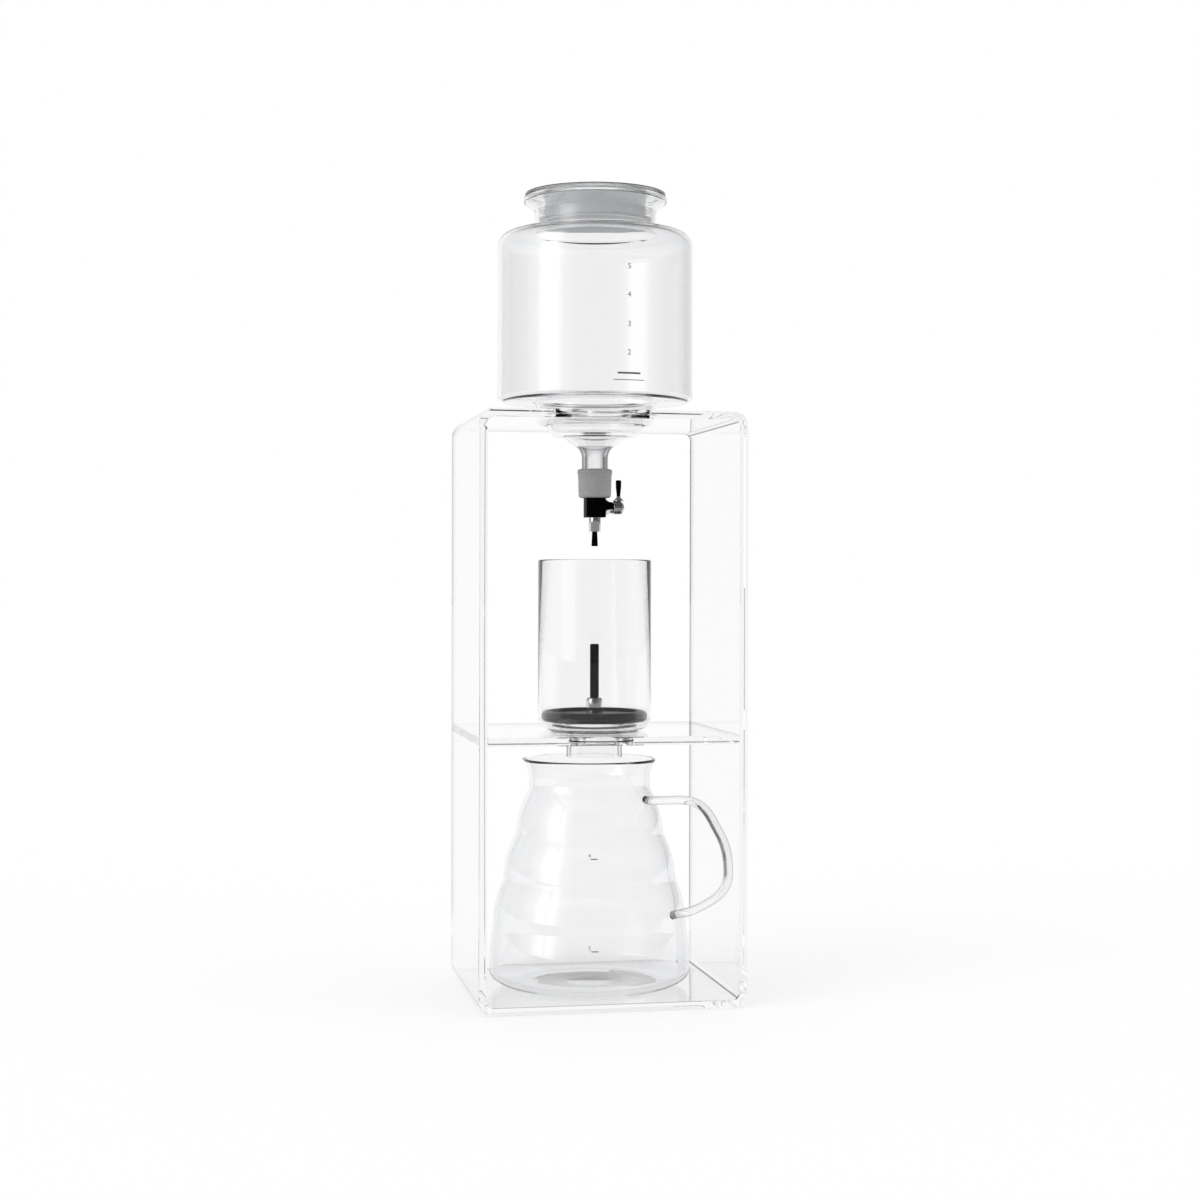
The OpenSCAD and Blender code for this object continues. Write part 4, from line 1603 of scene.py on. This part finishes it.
        second_finish(jug, FOOT_GLASS, in_punt)
        strap = finished(self.handle(), SOLID_GLASS, "server", "glass", "server_handle")
        turn = math.radians(-self.handle_turn)
        along = Vector((math.cos(turn), math.sin(turn), 0))
        across = Vector((-along.y, along.x, 0))
        middle_z = self.floor + (self.handle_top_z + self.handle_low_z) / 2
        middle = along * self.shade_from + Vector((-self.left, 0, middle_z))

        def inward(place: Vector, normal: Vector) -> bool:
            """Tells whether a face of the strap looks into the handle, away from its joints, where a dark
            streak is painted as shade.
            """
            if abs(normal.dot(across)) >= self.streak_half or normal.dot(middle - place) <= 0:
                return False
            return (place - middle).dot(along) > self.streak_clear

        # Painted shade: the inner faces of the strap, away from its joints, take a dark finish as the streak
        # seen inside the handle.
        second_finish(strap, STRAP_PAINTED_SHADE, inward)
        finished(self.marks(), GREY_INK, "server", "glass")


# Camera and studio


@dataclass
class PhotoCamera:
    """The camera at the photograph's viewing angle."""

    frame_px: float = 1200.0
    focal_px: float = 2158.96
    sensor: float = 36.0
    place: Triple = (-246.59, -1299.16, 252.66)
    yaw: float = 0.1901
    pitch: float = -0.0093
    roll: float = 0.0020

    def build(self) -> None:
        """Sets the camera."""
        forward = Vector((math.sin(self.yaw) * math.cos(self.pitch),
                          math.cos(self.yaw) * math.cos(self.pitch), math.sin(self.pitch)))
        level = Vector((math.cos(self.yaw), -math.sin(self.yaw), 0))
        above = level.cross(forward)
        right = level * math.cos(self.roll) + above * math.sin(self.roll)
        up = right.cross(forward)
        data = bpy.data.cameras.new("photo_camera")
        data.sensor_width = self.sensor
        data.lens = self.focal_px / self.frame_px * self.sensor
        data.clip_start, data.clip_end = 0.05, 50.0
        camera = bpy.data.objects.new("photo_camera", data)
        bpy.context.scene.collection.objects.link(camera)
        turn = Matrix((right, up, -forward)).transposed().to_4x4()
        camera.matrix_world = Matrix.Translation(Vector(self.place) * MM) @ turn
        bpy.context.scene.camera = camera


@dataclass(frozen=True)
class Lamp:
    """A wide, far lamp, which gloss and glass don't show as a disc; its angles are in degrees."""

    name: str
    azimuth: float
    elevation: float
    spread: float
    strength: float

    def build(self) -> None:
        """Places the lamp, with azimuth 0 at the front and +X at 90."""
        data = bpy.data.lights.new(self.name, "SUN")
        data.angle = math.radians(self.spread)
        data.energy = self.strength
        lamp = bpy.data.objects.new(self.name, data)
        bpy.context.scene.collection.objects.link(lamp)
        a, e = math.radians(self.azimuth), math.radians(self.elevation)
        lamp.location = Vector((math.sin(a) * math.cos(e), -math.cos(a) * math.cos(e), math.sin(e)))
        lamp.rotation_mode = "QUATERNION"
        lamp.rotation_quaternion = lamp.location.to_track_quat("Z", "Y")
        lamp.visible_glossy = lamp.visible_transmission = False


@dataclass
class Studio:
    """The white floor, the white surroundings and the soft lamps."""

    floor_colour: Colour = (0.18, 0.18, 0.18)
    floor_glow: float = 0.79
    floor_front: Point = (-0.25, -0.1)
    floor_front_level: float = 0.15
    floor_drop: float = 0.2
    floor_size: float = 40.0
    surroundings: float = 0.62
    screens: tuple[Point, ...] = (
        (-160, 1.0), (-145, 0.85), (-125, 0.45), (-104, 0.3), (-88, 0.8), (-72, 2.6), (-60, 2.6), (-44, 0.6),
        (-32, 0.16), (-11, 0.1), (60, 0.12), (85, 0.2), (115, 0.35), (145, 0.85), (160, 1.0))
    brightest: float = 2.6
    ceiling: Point = (0.35, 0.8)
    ceiling_level: float = 0.25
    lamps: tuple[Lamp, ...] = (
        Lamp("key", -60.0, 45.0, 40.0, 1.2), Lamp("fill", 60.0, 35.0, 60.0, 0.5),
        Lamp("top", 180.0, 85.0, 60.0, 0.6))
    bounces: int = 24

    @staticmethod
    def rays(graph: Graph) -> tuple[bpy.types.NodeSocket, bpy.types.NodeSocket]:
        """Masks of the rays that see plain white, and of those that a surface has turned back.

        Plain white is for the camera, and for what it sees through glass without a bounce.

        Args:
            graph: The tree that they are for.

        Returns:
            The two masks.
        """
        path = graph.add("LightPath").outputs
        sent = path["Is Transmission Ray"]
        direct = graph.math("MULTIPLY", sent, graph.math("LESS_THAN", path["Glossy Depth"], 0.5))
        clear = graph.math("MAXIMUM", path["Is Camera Ray"], direct)
        return clear, graph.math("MAXIMUM", path["Is Glossy Ray"], graph.math("SUBTRACT", sent, direct))

    def gloss(self, graph: Graph) -> bpy.types.NodeSocket:
        """Brightness of the surroundings in gloss: soft screens on dark walls, under a dim ceiling.

        Args:
            graph: The world's tree.

        Returns:
            The brightness.
        """
        x, y, z = graph.add("SeparateXYZ", Vector=graph.place("Generated")).outputs
        azimuth = graph.math("ARCTAN2", x, graph.math("MULTIPLY", y, -1.0))
        share = graph.math("MULTIPLY_ADD", azimuth, 1.0 / FULL_TURN, 0.5)
        stops = [(angle / 360.0 + 0.5, (level / self.brightest,) * 3) for angle, level in self.screens]
        levels = (self.brightest, self.brightest * self.ceiling_level)
        screens = graph.ramp(share, stops, "EASE")
        return graph.math("MULTIPLY", screens, graph.soft_step(z, self.ceiling, levels))

    def world(self) -> None:
        """White surroundings, softer for the light that they cast and graded where gloss shows them."""
        world = bpy.data.worlds.new("white_studio")
        world.use_nodes = True
        graph = Graph(world.node_tree)
        graph.nodes.clear()
        clear, bounced = self.rays(graph)
        shown = graph.math("MAXIMUM", clear, graph.math("MULTIPLY", bounced, self.gloss(graph)))
        hidden = graph.math("SUBTRACT", 1.0, graph.math("MAXIMUM", clear, bounced))
        strength = graph.math("MULTIPLY_ADD", hidden, self.surroundings, shown)
        background = graph.add("Background", Color=(1.0, 1.0, 1.0, 1.0), Strength=strength)
        graph.add("OutputWorld", Surface=background.outputs["Background"])
        bpy.context.scene.world = world

    def floor(self) -> None:
        """The pale floor, which keeps the tower's shadow."""
        deselect()
        bpy.ops.mesh.primitive_plane_add(size=self.floor_size, location=(0, 0, -self.floor_drop * MM))
        floor = bpy.context.active_object
        floor.name = "floor"
        material = bpy.data.materials.new("floor_white")
        material.use_nodes = True
        graph = Graph(material.node_tree)
        graph.nodes.clear()
        across = graph.add("SeparateXYZ", Vector=graph.place()).outputs["Y"]
        front = graph.soft_step(across, self.floor_front, (self.floor_front_level, 1.0))
        clear, bounced = self.rays(graph)
        seen = graph.math("MAXIMUM", graph.math("MULTIPLY", bounced, front), clear)
        matt = graph.add("BsdfDiffuse", Color=(*self.floor_colour, 1.0))
        glow = graph.add("Emission", Strength=graph.math("MULTIPLY", seen, self.floor_glow))
        both = graph.add("AddShader")
        graph.feed(both.inputs[0], matt.outputs["BSDF"])
        graph.feed(both.inputs[1], glow.outputs["Emission"])
        graph.add("OutputMaterial", Surface=both.outputs["Shader"])
        floor.data.materials.append(material)

    def build(self) -> None:
        """Builds the studio."""
        self.world()
        self.floor()
        for lamp in self.lamps:
            lamp.build()
        cycles = bpy.context.scene.cycles
        cycles.use_denoising = True
        cycles.max_bounces = cycles.transmission_bounces = cycles.transparent_max_bounces = self.bounces
        cycles.glossy_bounces = self.bounces // 2
        bpy.context.scene.view_settings.view_transform = "Standard"


def corners(box: tuple[Vector, Vector]) -> list[list[float]]:
    """Lowest and highest corner of a box, as plain lists of numbers."""
    return [list(box[0]), list(box[1])]


def main() -> None:
    """Builds the tower, the camera and the studio."""
    logging.basicConfig(level=logging.INFO, format="%(message)s")
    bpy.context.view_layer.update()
    PhotoCamera().build()
    for assembly in (Stand(), WaterBowl(), Lid(), Tap(), CoffeeCylinder(), Filter(), Server(), Studio()):
        assembly.build()
        LOG.info("%s done", type(assembly).__name__)


if __name__ == "__main__":
    main()
